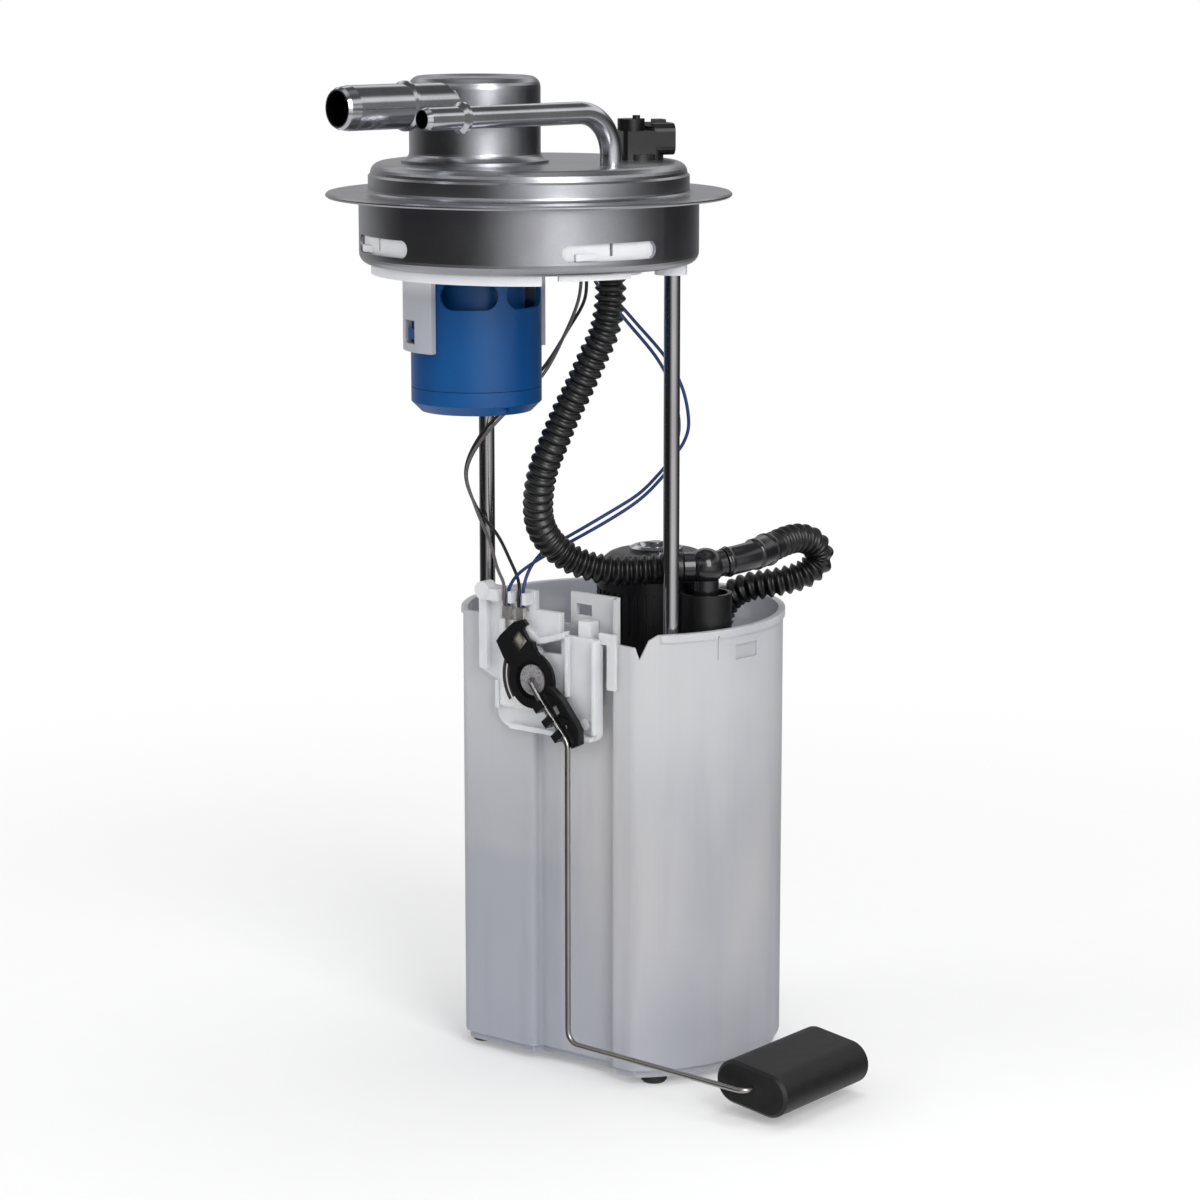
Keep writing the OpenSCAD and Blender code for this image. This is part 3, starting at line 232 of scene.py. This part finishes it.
# The world is white behind the pump and lights it evenly. What metal mirrors of it
# is a studio: at eye level a broad panel beside the camera with a darker room to
# both sides, a strip of light above, and the pale sweep below.
world = bpy.data.worlds.new("studio")
bpy.context.scene.world = world
room = Nodes(world)
to_camera, to_gloss, to_clear = [room.node("ShaderNodeLightPath", out=i) for i in (0, 3, 6)]
way = room.node("ShaderNodeTexCoord", out=0)
east, north, up = [room.node("ShaderNodeSeparateXYZ", {}, {0: way}, i) for i in range(3)]
ahead = east * -heading.x + north * -heading.y
right = east * heading.y + north * -heading.x
turn = right.angle(ahead) / (2 * math.pi) + 0.5
panels = room.node("ShaderNodeValToRGB", {"stops": [
    (0.0, (0.48,) * 3), (0.10, (0.42,) * 3), (0.17, (0.20,) * 3), (0.24, (0.03,) * 3),
    (0.415, (0.02,) * 3), (0.47, (0.45,) * 3), (0.52, (1.0,) * 3), (0.63, (0.90,) * 3),
    (0.72, (0.22,) * 3), (0.80, (0.02,) * 3), (0.91, (0.08,) * 3), (1.0, (0.48,) * 3)]},
    {0: turn})
level = up * 0.5 + 0.5
strips = room.node("ShaderNodeValToRGB", {"stops": [
    (0.0, (0.70,) * 3), (0.22, (0.85,) * 3), (0.29, (0.25,) * 3), (0.62, (0.36,) * 3),
    (0.66, (0.10,) * 3), (0.71, (0.95,) * 3), (0.79, (0.95,) * 3), (0.85, (0.10,) * 3),
    (0.93, (0.12,) * 3), (1.0, (0.70,) * 3)]}, {0: level})
beside = level.above(0.34, 0.05) * (1 - level.above(0.63, 0.03))
mirrored = panels * beside + strips * (1 - beside)
plain_light = 0.55
seen = to_camera.larger(to_clear)
strength = seen + (1 - seen) * (plain_light * (1 - to_gloss) + mirrored * to_gloss)
shell = room.node("ShaderNodeBackground", {}, {"Color": (1, 1, 1, 1), "Strength": strength})
room.node("ShaderNodeOutputWorld", {}, {0: shell})


def softbox(name, place, size, power, in_metal, aim=(0, 0.03, -0.15)):
    lamp = bpy.data.lights.new(name, "AREA")
    lamp.shape = "RECTANGLE"
    lamp.size, lamp.size_y = size
    lamp.energy = power
    box = bpy.data.objects.new(name, lamp)
    box.location = place
    box.visible_glossy = in_metal
    box.rotation_mode = "QUATERNION"
    box.rotation_quaternion = (Vector(aim) - Vector(place)).to_track_quat("-Z", "Y")
    bpy.context.scene.collection.objects.link(box)


softbox("key_softbox", (1.45, -0.75, 0.75), (0.8, 1.3), 20, True)
softbox("fill_softbox", (-1.25, -1.35, 0.6), (1.0, 1.2), 8.5, False)
softbox("top_softbox", (0.1, 0.3, 1.7), (1.2, 1.2), 10, False)


# ---------------------------------------------------------------------------
# Flange, skirt and vapour can. Deep-drawn sheet steel with a dull nickel-zinc
# plate. The skirt is rolled and welded under the flange, the can on its dome.
# ---------------------------------------------------------------------------
def shade(red, green, blue):
    """A colour as the eye reads it, 0 to 255, turned into light."""
    parts = [c / 255 for c in (red, green, blue)]
    return tuple(c / 12.92 if c <= 0.04045 else ((c + 0.055) / 1.055) ** 2.4 for c in parts)


plate = Finish("stamped_steel")
cloud = plate.noise(38, 3)
rolled = plate.noise(900, 4, (1, 1, 4), 0.65)
pits = plate.noise(2600, 2)
tone = plate.mix(cloud.above(0.5, 0.25), shade(160, 160, 166), shade(180, 181, 186))
tone = plate.mix(rolled.above(0.6, 0.25) * 0.3, tone, shade(136, 136, 142))
plate.skin(tone, 0.23 + 0.08 * cloud + 0.06 * rolled,
    plate.lift(pits, 0.00004, 0.6, plate.lift(rolled, 0.00003, 0.2)), Metallic=1.0)
plate.dress("mounting_flange", "skirt", "vapor_can")


# ---------------------------------------------------------------------------
# Vapour tube and feed tube. Cold-drawn stainless tube with rolled beads for
# the quick connectors. The feed tube is bent down and brazed into the dome.
# ---------------------------------------------------------------------------
drawn = Finish("tube_steel")
haze = drawn.noise(55, 3)
lines = drawn.noise(2600, 2, (1, 0.3, 1), 0.6)
tone = drawn.mix(haze.above(0.5, 0.3), shade(186, 187, 192), shade(210, 211, 215))
tone = drawn.mix(lines.above(0.6, 0.3) * 0.25, tone, shade(160, 160, 165))
drawn.skin(tone, 0.10 + 0.08 * haze + 0.03 * lines, drawn.lift(lines, 0.00001, 0.2), Metallic=1.0)
drawn.dress("vapor_tube", "feed_tube")


# ---------------------------------------------------------------------------
# Plug socket. Glass-filled nylon moulded round four tinned copper blades, and
# snapped into the dome over a seal.
# ---------------------------------------------------------------------------
nylon = Finish("black_plastic")
flow = nylon.noise(70, 3)
spark = nylon.noise(3200, 2)
tone = nylon.mix(flow, shade(9, 9, 10), shade(18, 18, 20))
nylon.skin(tone, 0.26 + 0.16 * flow + 0.06 * spark, nylon.lift(spark, 0.00003, 0.3,
    nylon.lift(flow, 0.0003, 0.2)), Specular_IOR_Level=0.4, Coat_Weight=0.1, Coat_Roughness=0.15)
nylon.dress("connector_body")

tin = Finish("tinned_copper")
dull = tin.noise(700, 4)
tin.skin(tin.mix(dull.above(0.45, 0.2), shade(232, 230, 226), shade(200, 197, 192)),
    0.42 + 0.2 * dull, tin.lift(dull, 0.00003, 0.4), Metallic=1.0)
tin.dress("connector_pins", "card_terminals")


# ---------------------------------------------------------------------------
# Inner plate. White acetal moulding under the flange. It seats the rods, and
# its two arms reach down and clip the vent valve.
# ---------------------------------------------------------------------------
acetal = Finish("white_plastic")
cream = acetal.noise(26, 3)
grit = acetal.noise(2400, 2)
tone = acetal.mix(cream.above(0.5, 0.3), shade(214, 215, 219), shade(228, 228, 230))
# Painted shade: everything hanging below the plate, the arms and the valve float, turns grey as if
# in shadow
painted_arm_shade = (-0.032 - acetal.node("ShaderNodeSeparateXYZ", {}, {0: acetal.place}, 2)).above(0.0, 0.004)
tone = acetal.mix(painted_arm_shade * 0.8, tone, shade(150, 153, 162))
acetal.skin(tone, 0.36 + 0.12 * cream, acetal.lift(grit, 0.00003, 0.3,
    acetal.lift(cream, 0.0004, 0.15)), Subsurface_Weight=0.25,
    Subsurface_Radius=(0.002, 0.002, 0.0022), Subsurface_Scale=1.0)
acetal.dress("inner_plate")


# ---------------------------------------------------------------------------
# Vent valve. Blue acetal body with windows, its cap snapped on below, a float
# puck on a light spring inside, and a rubber seal round the neck.
# ---------------------------------------------------------------------------
blue = Finish("blue_plastic")
swirl = blue.noise(34, 4, (1, 1, 0.5))
grit = blue.noise(2200, 2)
tone = blue.mix(swirl.above(0.5, 0.3), shade(0, 60, 116), shade(2, 78, 138))
scuff = blue.noise(240, 5, (1, 1, 0.35), 0.7).above(0.68, 0.05)
tone = blue.mix(scuff * 0.25, tone, shade(24, 110, 168))
blue.skin(tone, 0.34 + 0.12 * swirl, blue.lift(grit, 0.00003, 0.35,
    blue.lift(swirl, 0.0004, 0.2)), Specular_IOR_Level=0.3,
    Coat_Weight=0.15, Coat_Roughness=0.15)
blue.dress("valve_housing", "valve_base")
acetal.dress("valve_float")

rubber = Finish("black_rubber")
bloom = rubber.noise(160, 4)
tone = rubber.mix(bloom.above(0.55, 0.2), shade(22, 22, 23), shade(42, 42, 43))
rubber.skin(tone, 0.6 + 0.2 * bloom, rubber.lift(bloom, 0.0001, 0.4))
rubber.dress("valve_seal", "rubber_feet")


def tube(name, middle, radius, sides, finish):
    """A closed tube of changing radius along points, its rings twisting as little as they can."""
    aims = [(middle[min(i + 1, len(middle) - 1)] - middle[max(i - 1, 0)]).normalized()
        for i in range(len(middle))]
    across = Vector((1, 0, 0)) if abs(aims[0].x) < 0.9 else Vector((0, 1, 0))
    spots, faces = [], []
    for i, (point, aim) in enumerate(zip(middle, aims)):
        across = (across - aim * across.dot(aim)).normalized()
        over = aim.cross(across)
        for k in range(sides):
            turn = 2 * math.pi * k / sides
            spots.append(point + radius(i) * (math.cos(turn) * across + math.sin(turn) * over))
        for k in range(sides if i else 0):
            a, b = (i - 1) * sides + k, (i - 1) * sides + (k + 1) % sides
            faces.append((a, b, b + sides, a + sides))
    last = (len(middle) - 1) * sides
    faces += [tuple(reversed(range(sides))), tuple(range(last, last + sides))]
    mesh = bpy.data.meshes.new(name)
    mesh.from_pydata(spots, [], faces)
    mesh.materials.append(finish.owner)
    for face in mesh.polygons:
        face.use_smooth = len(face.vertices) == 4
    piece = bpy.data.objects.new(name, mesh)
    bpy.context.scene.collection.objects.link(piece)
    return piece


def coil(name, centre, radius, wire, low, high, turns, finish):
    """A compression spring whose end turns lie a little closer."""
    per_turn, closing = 36, 0.021
    steps = turns * per_turn
    middle = []
    for i in range(steps + 1):
        share = i / steps
        eased = share - closing * math.sin(2 * math.pi * share)
        turn = 2 * math.pi * i / per_turn
        middle.append(Vector((centre[0] + radius * math.cos(turn),
            centre[1] + radius * math.sin(turn), low + wire + (high - low - 2 * wire) * eased)))
    return tube(name, middle, lambda i: wire, 12, finish)


music = Finish("spring_steel")
temper = music.noise(260, 3)
music.skin(music.mix(temper, shade(128, 127, 126), shade(170, 169, 168)), 0.22 + 0.14 * temper,
    music.lift(temper, 0.00002, 0.3), Metallic=1.0)
valve_axis = (-0.012, -0.016)
spring_foot, puck_foot = -0.0735, -0.0602
puck_spring = coil("vent_spring", valve_axis, 0.006, 0.0004, spring_foot, puck_foot, 5, music)
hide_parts("valve_spring")
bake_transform(puck_spring)


# ---------------------------------------------------------------------------
# Struts. Two ground and polished steel rods pressed into the inner plate. A
# spring round each, under a push-on clip, holds the reservoir to the floor.
# ---------------------------------------------------------------------------
polished = Finish("polished_steel")
turned = polished.noise(2400, 2, (0.3, 0.3, 1), 0.6)
smear = polished.noise(45, 3, (1, 1, 0.4))
tone = polished.mix(smear.above(0.5, 0.3), shade(162, 160, 162), shade(188, 186, 188))
polished.skin(tone, 0.11 + 0.07 * smear + 0.03 * turned, polished.lift(turned, 0.000004, 0.2),
    Metallic=1.0)
polished.dress("strut_rod_left", "strut_rod_right")
music.dress("strut_clips")
rod_x, rod_y = 0.0445, 0.0278
chamber_floor, clip_face = -0.2618, -0.1775
for name, x in (("strut_spring_left", -rod_x), ("strut_spring_right", rod_x)):
    strut_coil = coil(name + "_coil", (x, rod_y), 0.0039, 0.0006, chamber_floor, clip_face, 9,
        music)
    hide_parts(name)
    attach(strut_coil, "cover")
    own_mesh(strut_coil)


# ---------------------------------------------------------------------------
# Reservoir. A deep can blow-moulded and trimmed in natural polyethylene: milky and
# cloudy. Painted shade darkens and blues its left side, a band low on the left and
# its bottom; a painted highlight lightens its top.
# ---------------------------------------------------------------------------
milky = Finish("milky_plastic")
x, z = milky.axes()[::2]
bands = milky.noise(15, 3, (1, 1, 0.2))
cloud = milky.noise(34, 4, (1, 1, 0.7), 0.55)
flow = milky.noise(120, 4, (1, 1, 0.08), 0.6)
grain = milky.noise(1800, 2)
# Painted shade: a darker, bluer band low on the left, where the parts inside shade the wall
painted_inner_shade = (-0.258 - z + 0.012 * cloud).above(0.0, 0.004) * (0.012 - x).above(0.0, 0.03)
# Painted shade: a bluish tint towards the bottom of the can
low = (-0.290 - z).above(0.0, 0.04)
tone = milky.mix(bands.above(0.5, 0.2), shade(165, 168, 177), shade(206, 204, 206))
tone = milky.mix(cloud.above(0.55, 0.2) * 0.55, tone, shade(194, 194, 197))
tone = milky.mix(flow.above(0.6, 0.15) * 0.3, tone, shade(163, 165, 173))
# Painted shade of the parts inside, low on the left
tone = milky.mix(painted_inner_shade * 0.22, tone, shade(146, 154, 172))
# Painted shade: the left side of the can turns darker and bluer, as the light falls on it
painted_left_shade = (0.004 - x + 0.01 * cloud).above(0.0, 0.02)
tone = milky.mix(painted_left_shade * 0.35, tone, shade(138, 146, 163))
# Painted highlight: the upper part of the can turns lighter, as the light falls on it
painted_top_light = (z + 0.215).above(0.0, 0.035)
tone = milky.mix(painted_top_light * 0.4, tone, shade(226, 227, 229))
# Painted bluish shade towards the bottom
tone = milky.mix(low * 0.4, tone, shade(178, 182, 198))
milky.skin(tone, 0.34 + 0.14 * cloud + 0.04 * flow, milky.lift(grain, 0.00003, 0.25,
    milky.lift(cloud, 0.0006, 0.25, milky.lift(bands, 0.0015, 0.15))),
    Subsurface_Weight=0.35, Subsurface_Radius=(0.004, 0.0042, 0.005), Subsurface_Scale=1.0,
    Transmission_Weight=0.18, IOR=1.5, Coat_Weight=0.1, Coat_Roughness=0.2)
milky.dress("reservoir")


# ---------------------------------------------------------------------------
# Pump and its holder. The electric pump stands on its strainer in a ribbed
# nylon holder, under a lid that carries the pressure regulator.
# ---------------------------------------------------------------------------
nylon.dress("pump_housing", "housing_lid", "jet_pump")
gloss = Finish("glossy_nylon")
flow = gloss.noise(60, 3)
gloss.skin(gloss.mix(flow, shade(16, 16, 18), shade(27, 27, 30)), 0.16 + 0.12 * flow,
    gloss.lift(flow, 0.0003, 0.2), Coat_Weight=0.4, Coat_Roughness=0.08)
gloss.dress("outlet_tee")
drawn.dress("pressure_regulator", "pump_shell")

copper = Finish("copper_winding")
strand = copper.noise(2600, 2, (1, 1, 0.15))
copper.skin(copper.mix(strand, shade(150, 78, 44), shade(214, 132, 84)), 0.3 + 0.15 * strand,
    copper.lift(strand, 0.0002, 0.6), Metallic=1.0)
copper.dress("pump_rotor")

mesh_cloth = Finish("strainer_mesh")
x, y = mesh_cloth.axes()[:2]
threads = 5200
weave = (x * threads).sine() * (y * threads).sine()
cell = weave * 0.5 + 0.5
mesh_cloth.skin(mesh_cloth.mix(cell, shade(196, 198, 200), shade(226, 228, 230)),
    0.55 + 0.1 * cell, mesh_cloth.lift(cell, 0.0002, 0.6))
mesh_cloth.dress("inlet_strainer")


# ---------------------------------------------------------------------------
# Corrugated hoses. Extruded nylon tube, formed into rounded folds 3.5 mm apart.
# One climbs to the feed tube; the other loops from the tee back to the jet pump.
# ---------------------------------------------------------------------------
def route(points, gap):
    """Evenly spaced points on a smooth curve through these points, given in millimetres."""
    marks = [Vector(p) / 1000 for p in points]
    fine = []
    for i in range(len(marks) - 1):
        a, b = marks[max(i - 1, 0)], marks[i]
        c, d = marks[i + 1], marks[min(i + 2, len(marks) - 1)]
        for k in range(24):
            t = k / 24
            fine.append(0.5 * (2 * b + (c - a) * t + (2 * a - 5 * b + 4 * c - d) * t * t
                + (3 * b - a - 3 * c + d) * t ** 3))
    fine.append(marks[-1])
    run = [0.0]
    for a, b in zip(fine, fine[1:]):
        run.append(run[-1] + (b - a).length)
    count = round(run[-1] / gap)
    even, k = [], 0
    for i in range(count + 1):
        at = run[-1] * i / count
        while k < len(run) - 2 and run[k + 1] < at:
            k += 1
        even.append(fine[k].lerp(fine[k + 1], min(1, (at - run[k]) / (run[k + 1] - run[k]))))
    return even, run[-1]


fold_pitch = 0.0035
groove_radius, fold_height, cuff_radius = 0.0042, 0.0015, 0.00555


def folded(name, points, plain, finish):
    """A corrugated hose: round crests, narrower grooves, and plain for a little at each end."""
    middle, long = route(points, 0.0004)
    pitch = long / round(long / fold_pitch)
    last = len(middle) - 1

    def radius(i):
        at = long * i / last
        if at < plain or at > long - plain:
            return cuff_radius
        wave = math.cos(2 * math.pi * at / pitch)
        return groove_radius + fold_height * (0.5 + 0.5 * wave) ** 0.8
    return tube(name, middle, radius, 40, finish)


hose = Finish("black_hose")
oil = hose.noise(90, 3)
fine = hose.noise(2800, 2)
tone = hose.mix(oil, shade(9, 9, 10), shade(18, 18, 20))
hose.skin(tone, 0.30 + 0.16 * oil, hose.lift(fine, 0.00003, 0.3), Coat_Weight=0.12,
    Coat_Roughness=0.2)
feed = folded("feed_hose_folds", [(38, 0, -24.3), (38, -0.5, -36), (36.5, -2, -47),
    (32.5, -4, -57), (28, -5.5, -67), (23, -7, -77), (18.5, -8, -87), (13.5, -8, -97),
    (10, -7, -107), (7, -3.5, -117.5), (6, 2, -125.5), (8, 9, -132.5), (13, 15.5, -137),
    (20, 23, -139.5), (27.5, 29.8, -139.5), (33.5, 34.9, -139), (36.8, 37.9, -138.6),
    (39.8, 40.8, -138.5)], 0.004, hose)
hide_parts("feed_hose")
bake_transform(feed)
loop = folded("loop_hose_folds", [(53.4, 77, -135), (53.8, 87, -133.4), (54.6, 94.5, -133.2),
    (56, 100.8, -135.1), (57.2, 104.4, -139.2), (57, 104.6, -143.4), (54.8, 101.4, -147),
    (51.6, 97.8, -149.2), (47.4, 94, -150.6), (42.4, 90.6, -151.8), (36, 87.6, -153.4),
    (29.6, 85.8, -157.2), (25.4, 84.6, -164), (24, 84, -174)], 0.003, hose)
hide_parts("loop_hose")
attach(loop, "reservoir")

# Smooth sleeve between the tee and the loop, with a rolled ring at each end
middle, long = route([(49.7, 53.4, -137.5), (52.6, 60.2, -136.6), (53.8, 68, -135.8),
    (53.4, 77, -135)], 0.0003)
rings = ((0.0016, 0.0005), (0.0146, 0.0004), (0.0226, 0.0005))  # place along it, height
sleeve_small, sleeve_grows, growth_at = 0.0054, 0.0005, 0.0146


def sleeve_radius(i):
    at = long * i / (len(middle) - 1)
    bead = sum(high * math.exp(-((at - spot) / 0.0007) ** 2) for spot, high in rings)
    grow = 1 / (1 + math.exp(-(at - growth_at) / 0.0004))
    return sleeve_small + sleeve_grows * grow + bead


sleeve = tube("hose_sleeve", middle, sleeve_radius, 40, gloss)
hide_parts("hose_cuff")
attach(sleeve, "reservoir")


# ---------------------------------------------------------------------------
# Leads. Four thin insulated wires from the plug: two blue, one black and one
# grey. They hang in two slack bows and end in the terminals of the level card.
# ---------------------------------------------------------------------------
def insulation(name, low, high):
    coat = Finish(name)
    smear = coat.noise(120, 3)
    grain = coat.noise(2400, 2)
    coat.skin(coat.mix(smear, low, high), 0.30 + 0.15 * smear, coat.lift(grain, 0.00002, 0.3),
        Coat_Weight=0.1, Coat_Roughness=0.2)
    return coat


lead_radius = 0.00064
blue_coat = insulation("blue_insulation", shade(14, 34, 84), shade(30, 60, 122))
black_coat = insulation("black_insulation", shade(18, 18, 20), shade(34, 34, 37))
grey_coat = insulation("grey_insulation", shade(84, 80, 80), shade(116, 111, 110))
for name, coat, points in (
    ("blue_wire_front", blue_coat, [(23, 35, 7.2), (22, 26, -6), (20, 14.5, -16), (19.4, 12, -26),
        (20.5, 16, -34), (24.5, 26, -46), (29.5, 38.5, -61), (33, 44, -74), (34.2, 45.8, -88),
        (32, 43, -101), (29, 39.5, -107.5), (24, 33.5, -114.5), (15.5, 25.5, -122),
        (3.8, 15.8, -130.6), (-4.5, 9.6, -136.5), (-11.5, 6.4, -142.4),
        (-15.4, 5.8, -148.5), (-15.5, 5.8, -154.4)]),
    ("blue_wire_rear", blue_coat, [(25, 35, 7.2), (24, 26, -6), (22, 14.5, -16), (21.4, 12.8, -26),
        (22.5, 17.5, -34), (26.6, 28, -46), (31.3, 40.5, -60), (34.8, 46.8, -72),
        (36.6, 48.6, -85), (34.9, 47.6, -93), (31.2, 44.8, -99.2), (28, 41, -105),
        (23.3, 35, -112), (15, 26.8, -119.2), (4.4, 17.9, -127.3), (-2, 13.5, -131.5),
        (-7, 11.4, -137), (-8.5, 8.6, -142), (-8.5, 6.2, -147.4), (-8.5, 5.8, -154.4)]),
    ("black_wire", black_coat, [(21, 35, 7.2), (20, 26, -6), (18, 14.3, -16), (17.3, 12.2, -26),
        (14.5, 14.2, -38), (4, 17.5, -50), (-12, 22.5, -66), (-30, 24.5, -81), (-44, 23, -94.8),
        (-51.5, 23.4, -109), (-46, 22.8, -121.6), (-31, 18, -131), (-20.5, 12.6, -138.5),
        (-14, 9.2, -144), (-11, 6.8, -148), (-10.6, 5.8, -151), (-10.6, 5.8, -154.4)]),
    ("grey_wire", grey_coat, [(19, 35, 7.2), (18, 26, -6), (16, 14.5, -16), (15.6, 11.6, -26),
        (14, 11.2, -38), (4.5, 14.6, -52), (-10, 20, -68), (-27.5, 22, -82), (-42, 21.5, -96),
        (-49, 21, -109), (-44, 20.5, -122), (-33, 15.5, -133), (-24.5, 9.9, -141.6),
        (-19, 6.9, -146.2), (-17.7, 5.9, -150), (-17.6, 5.8, -154.4)])):
    middle = route(points, 0.001)[0]
    wire = tube(name + "_lead", middle, lambda i: lead_radius, 14, coat)
    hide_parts(name)
    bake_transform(wire)


# ---------------------------------------------------------------------------
# Level card. White alumina with printed resistor tracks, clipped in the acetal
# bracket; two crimped terminals take the leads.
# ---------------------------------------------------------------------------
clear = Finish("clear_acetal")
cream = clear.noise(48, 3)
grit = clear.noise(2400, 2)
tone = clear.mix(cream.above(0.5, 0.3), shade(208, 210, 214), shade(226, 227, 229))
clear.skin(tone, 0.30 + 0.12 * cream,
    clear.lift(grit, 0.00003, 0.3, clear.lift(cream, 0.0004, 0.2)),
    Subsurface_Weight=0.5, Subsurface_Radius=(0.003, 0.003, 0.0033), Subsurface_Scale=1.0,
    Transmission_Weight=0.1, IOR=1.48)
clear.dress("sender_bracket")
alumina = Finish("ceramic")
fleck = alumina.noise(1400, 3)
alumina.skin(alumina.mix(fleck.above(0.6, 0.1), shade(216, 217, 219), shade(200, 200, 202)),
    0.5 + 0.15 * fleck, alumina.lift(fleck, 0.00003, 0.4))
alumina.dress("sensor_card")
ink = Finish("track_ink")
grit = ink.noise(3000, 3)
ink.skin(ink.mix(grit, shade(38, 34, 30), shade(62, 56, 50)), 0.45 + 0.2 * grit,
    ink.lift(grit, 0.00003, 0.5))
ink.dress("resistor_tracks")


# ---------------------------------------------------------------------------
# Sender hub. Black acetal moulding that turns on the wire's bent end, with a
# grey washer in its dish, the sprung contact, and the clips that grip the wire.
# ---------------------------------------------------------------------------
nylon.dress("sender_rotor")
washer = Finish("washer_grey")
speck = washer.noise(1500, 4, (1, 1, 1), 0.7)
ring = washer.noise(300, 3)
tone = washer.mix(ring, shade(122, 120, 123), shade(148, 147, 149))
tone = washer.mix(speck.above(0.57, 0.05), tone, shade(66, 64, 66))
washer.skin(tone, 0.5 + 0.15 * ring, washer.lift(speck, 0.00008, 0.5))
washer.dress("pivot_washer")
bronze = Finish("contact_bronze")
haze = bronze.noise(500, 3)
bronze.skin(bronze.mix(haze, shade(232, 226, 212), shade(246, 243, 236)), 0.44 + 0.16 * haze,
    bronze.lift(haze, 0.00002, 0.3), Metallic=1.0)
bronze.dress("wiper_contact")


# ---------------------------------------------------------------------------
# Float arm. One length of stainless wire, bent six times: through the hub, down
# the flat of the can, under it, and into the end of the float.
# ---------------------------------------------------------------------------
wire_steel = Finish("arm_steel")
die = wire_steel.noise(900, 3, (1, 1, 0.12), 0.6)
haze = wire_steel.noise(60, 3)
tone = wire_steel.mix(haze, shade(150, 148, 146), shade(182, 180, 178))
wire_steel.skin(tone, 0.2 + 0.12 * haze + 0.06 * die, wire_steel.lift(die, 0.00001, 0.3),
    Metallic=1.0)
wire_steel.dress("float_arm")


# ---------------------------------------------------------------------------
# Float. Closed-cell nitrile foam, moulded as a flat pill with a skin that shows
# its cells, and bored for the end of the wire.
# ---------------------------------------------------------------------------
foam = Finish("black_foam")
cells = foam.node("ShaderNodeTexVoronoi", {}, {"Vector": foam.place, "Scale": 1500.0})
dust = foam.noise(240, 4)
tone = foam.mix(dust.above(0.5, 0.3), shade(14, 14, 15), shade(24, 24, 26))
tone = foam.mix((1 - cells).above(0.86, 0.1) * 0.5, tone, shade(11, 11, 12))
foam.skin(tone, 0.46 + 0.14 * dust, foam.lift(cells, 0.00006, 0.35, foam.lift(dust, 0.0003, 0.2)))
foam.dress("float")
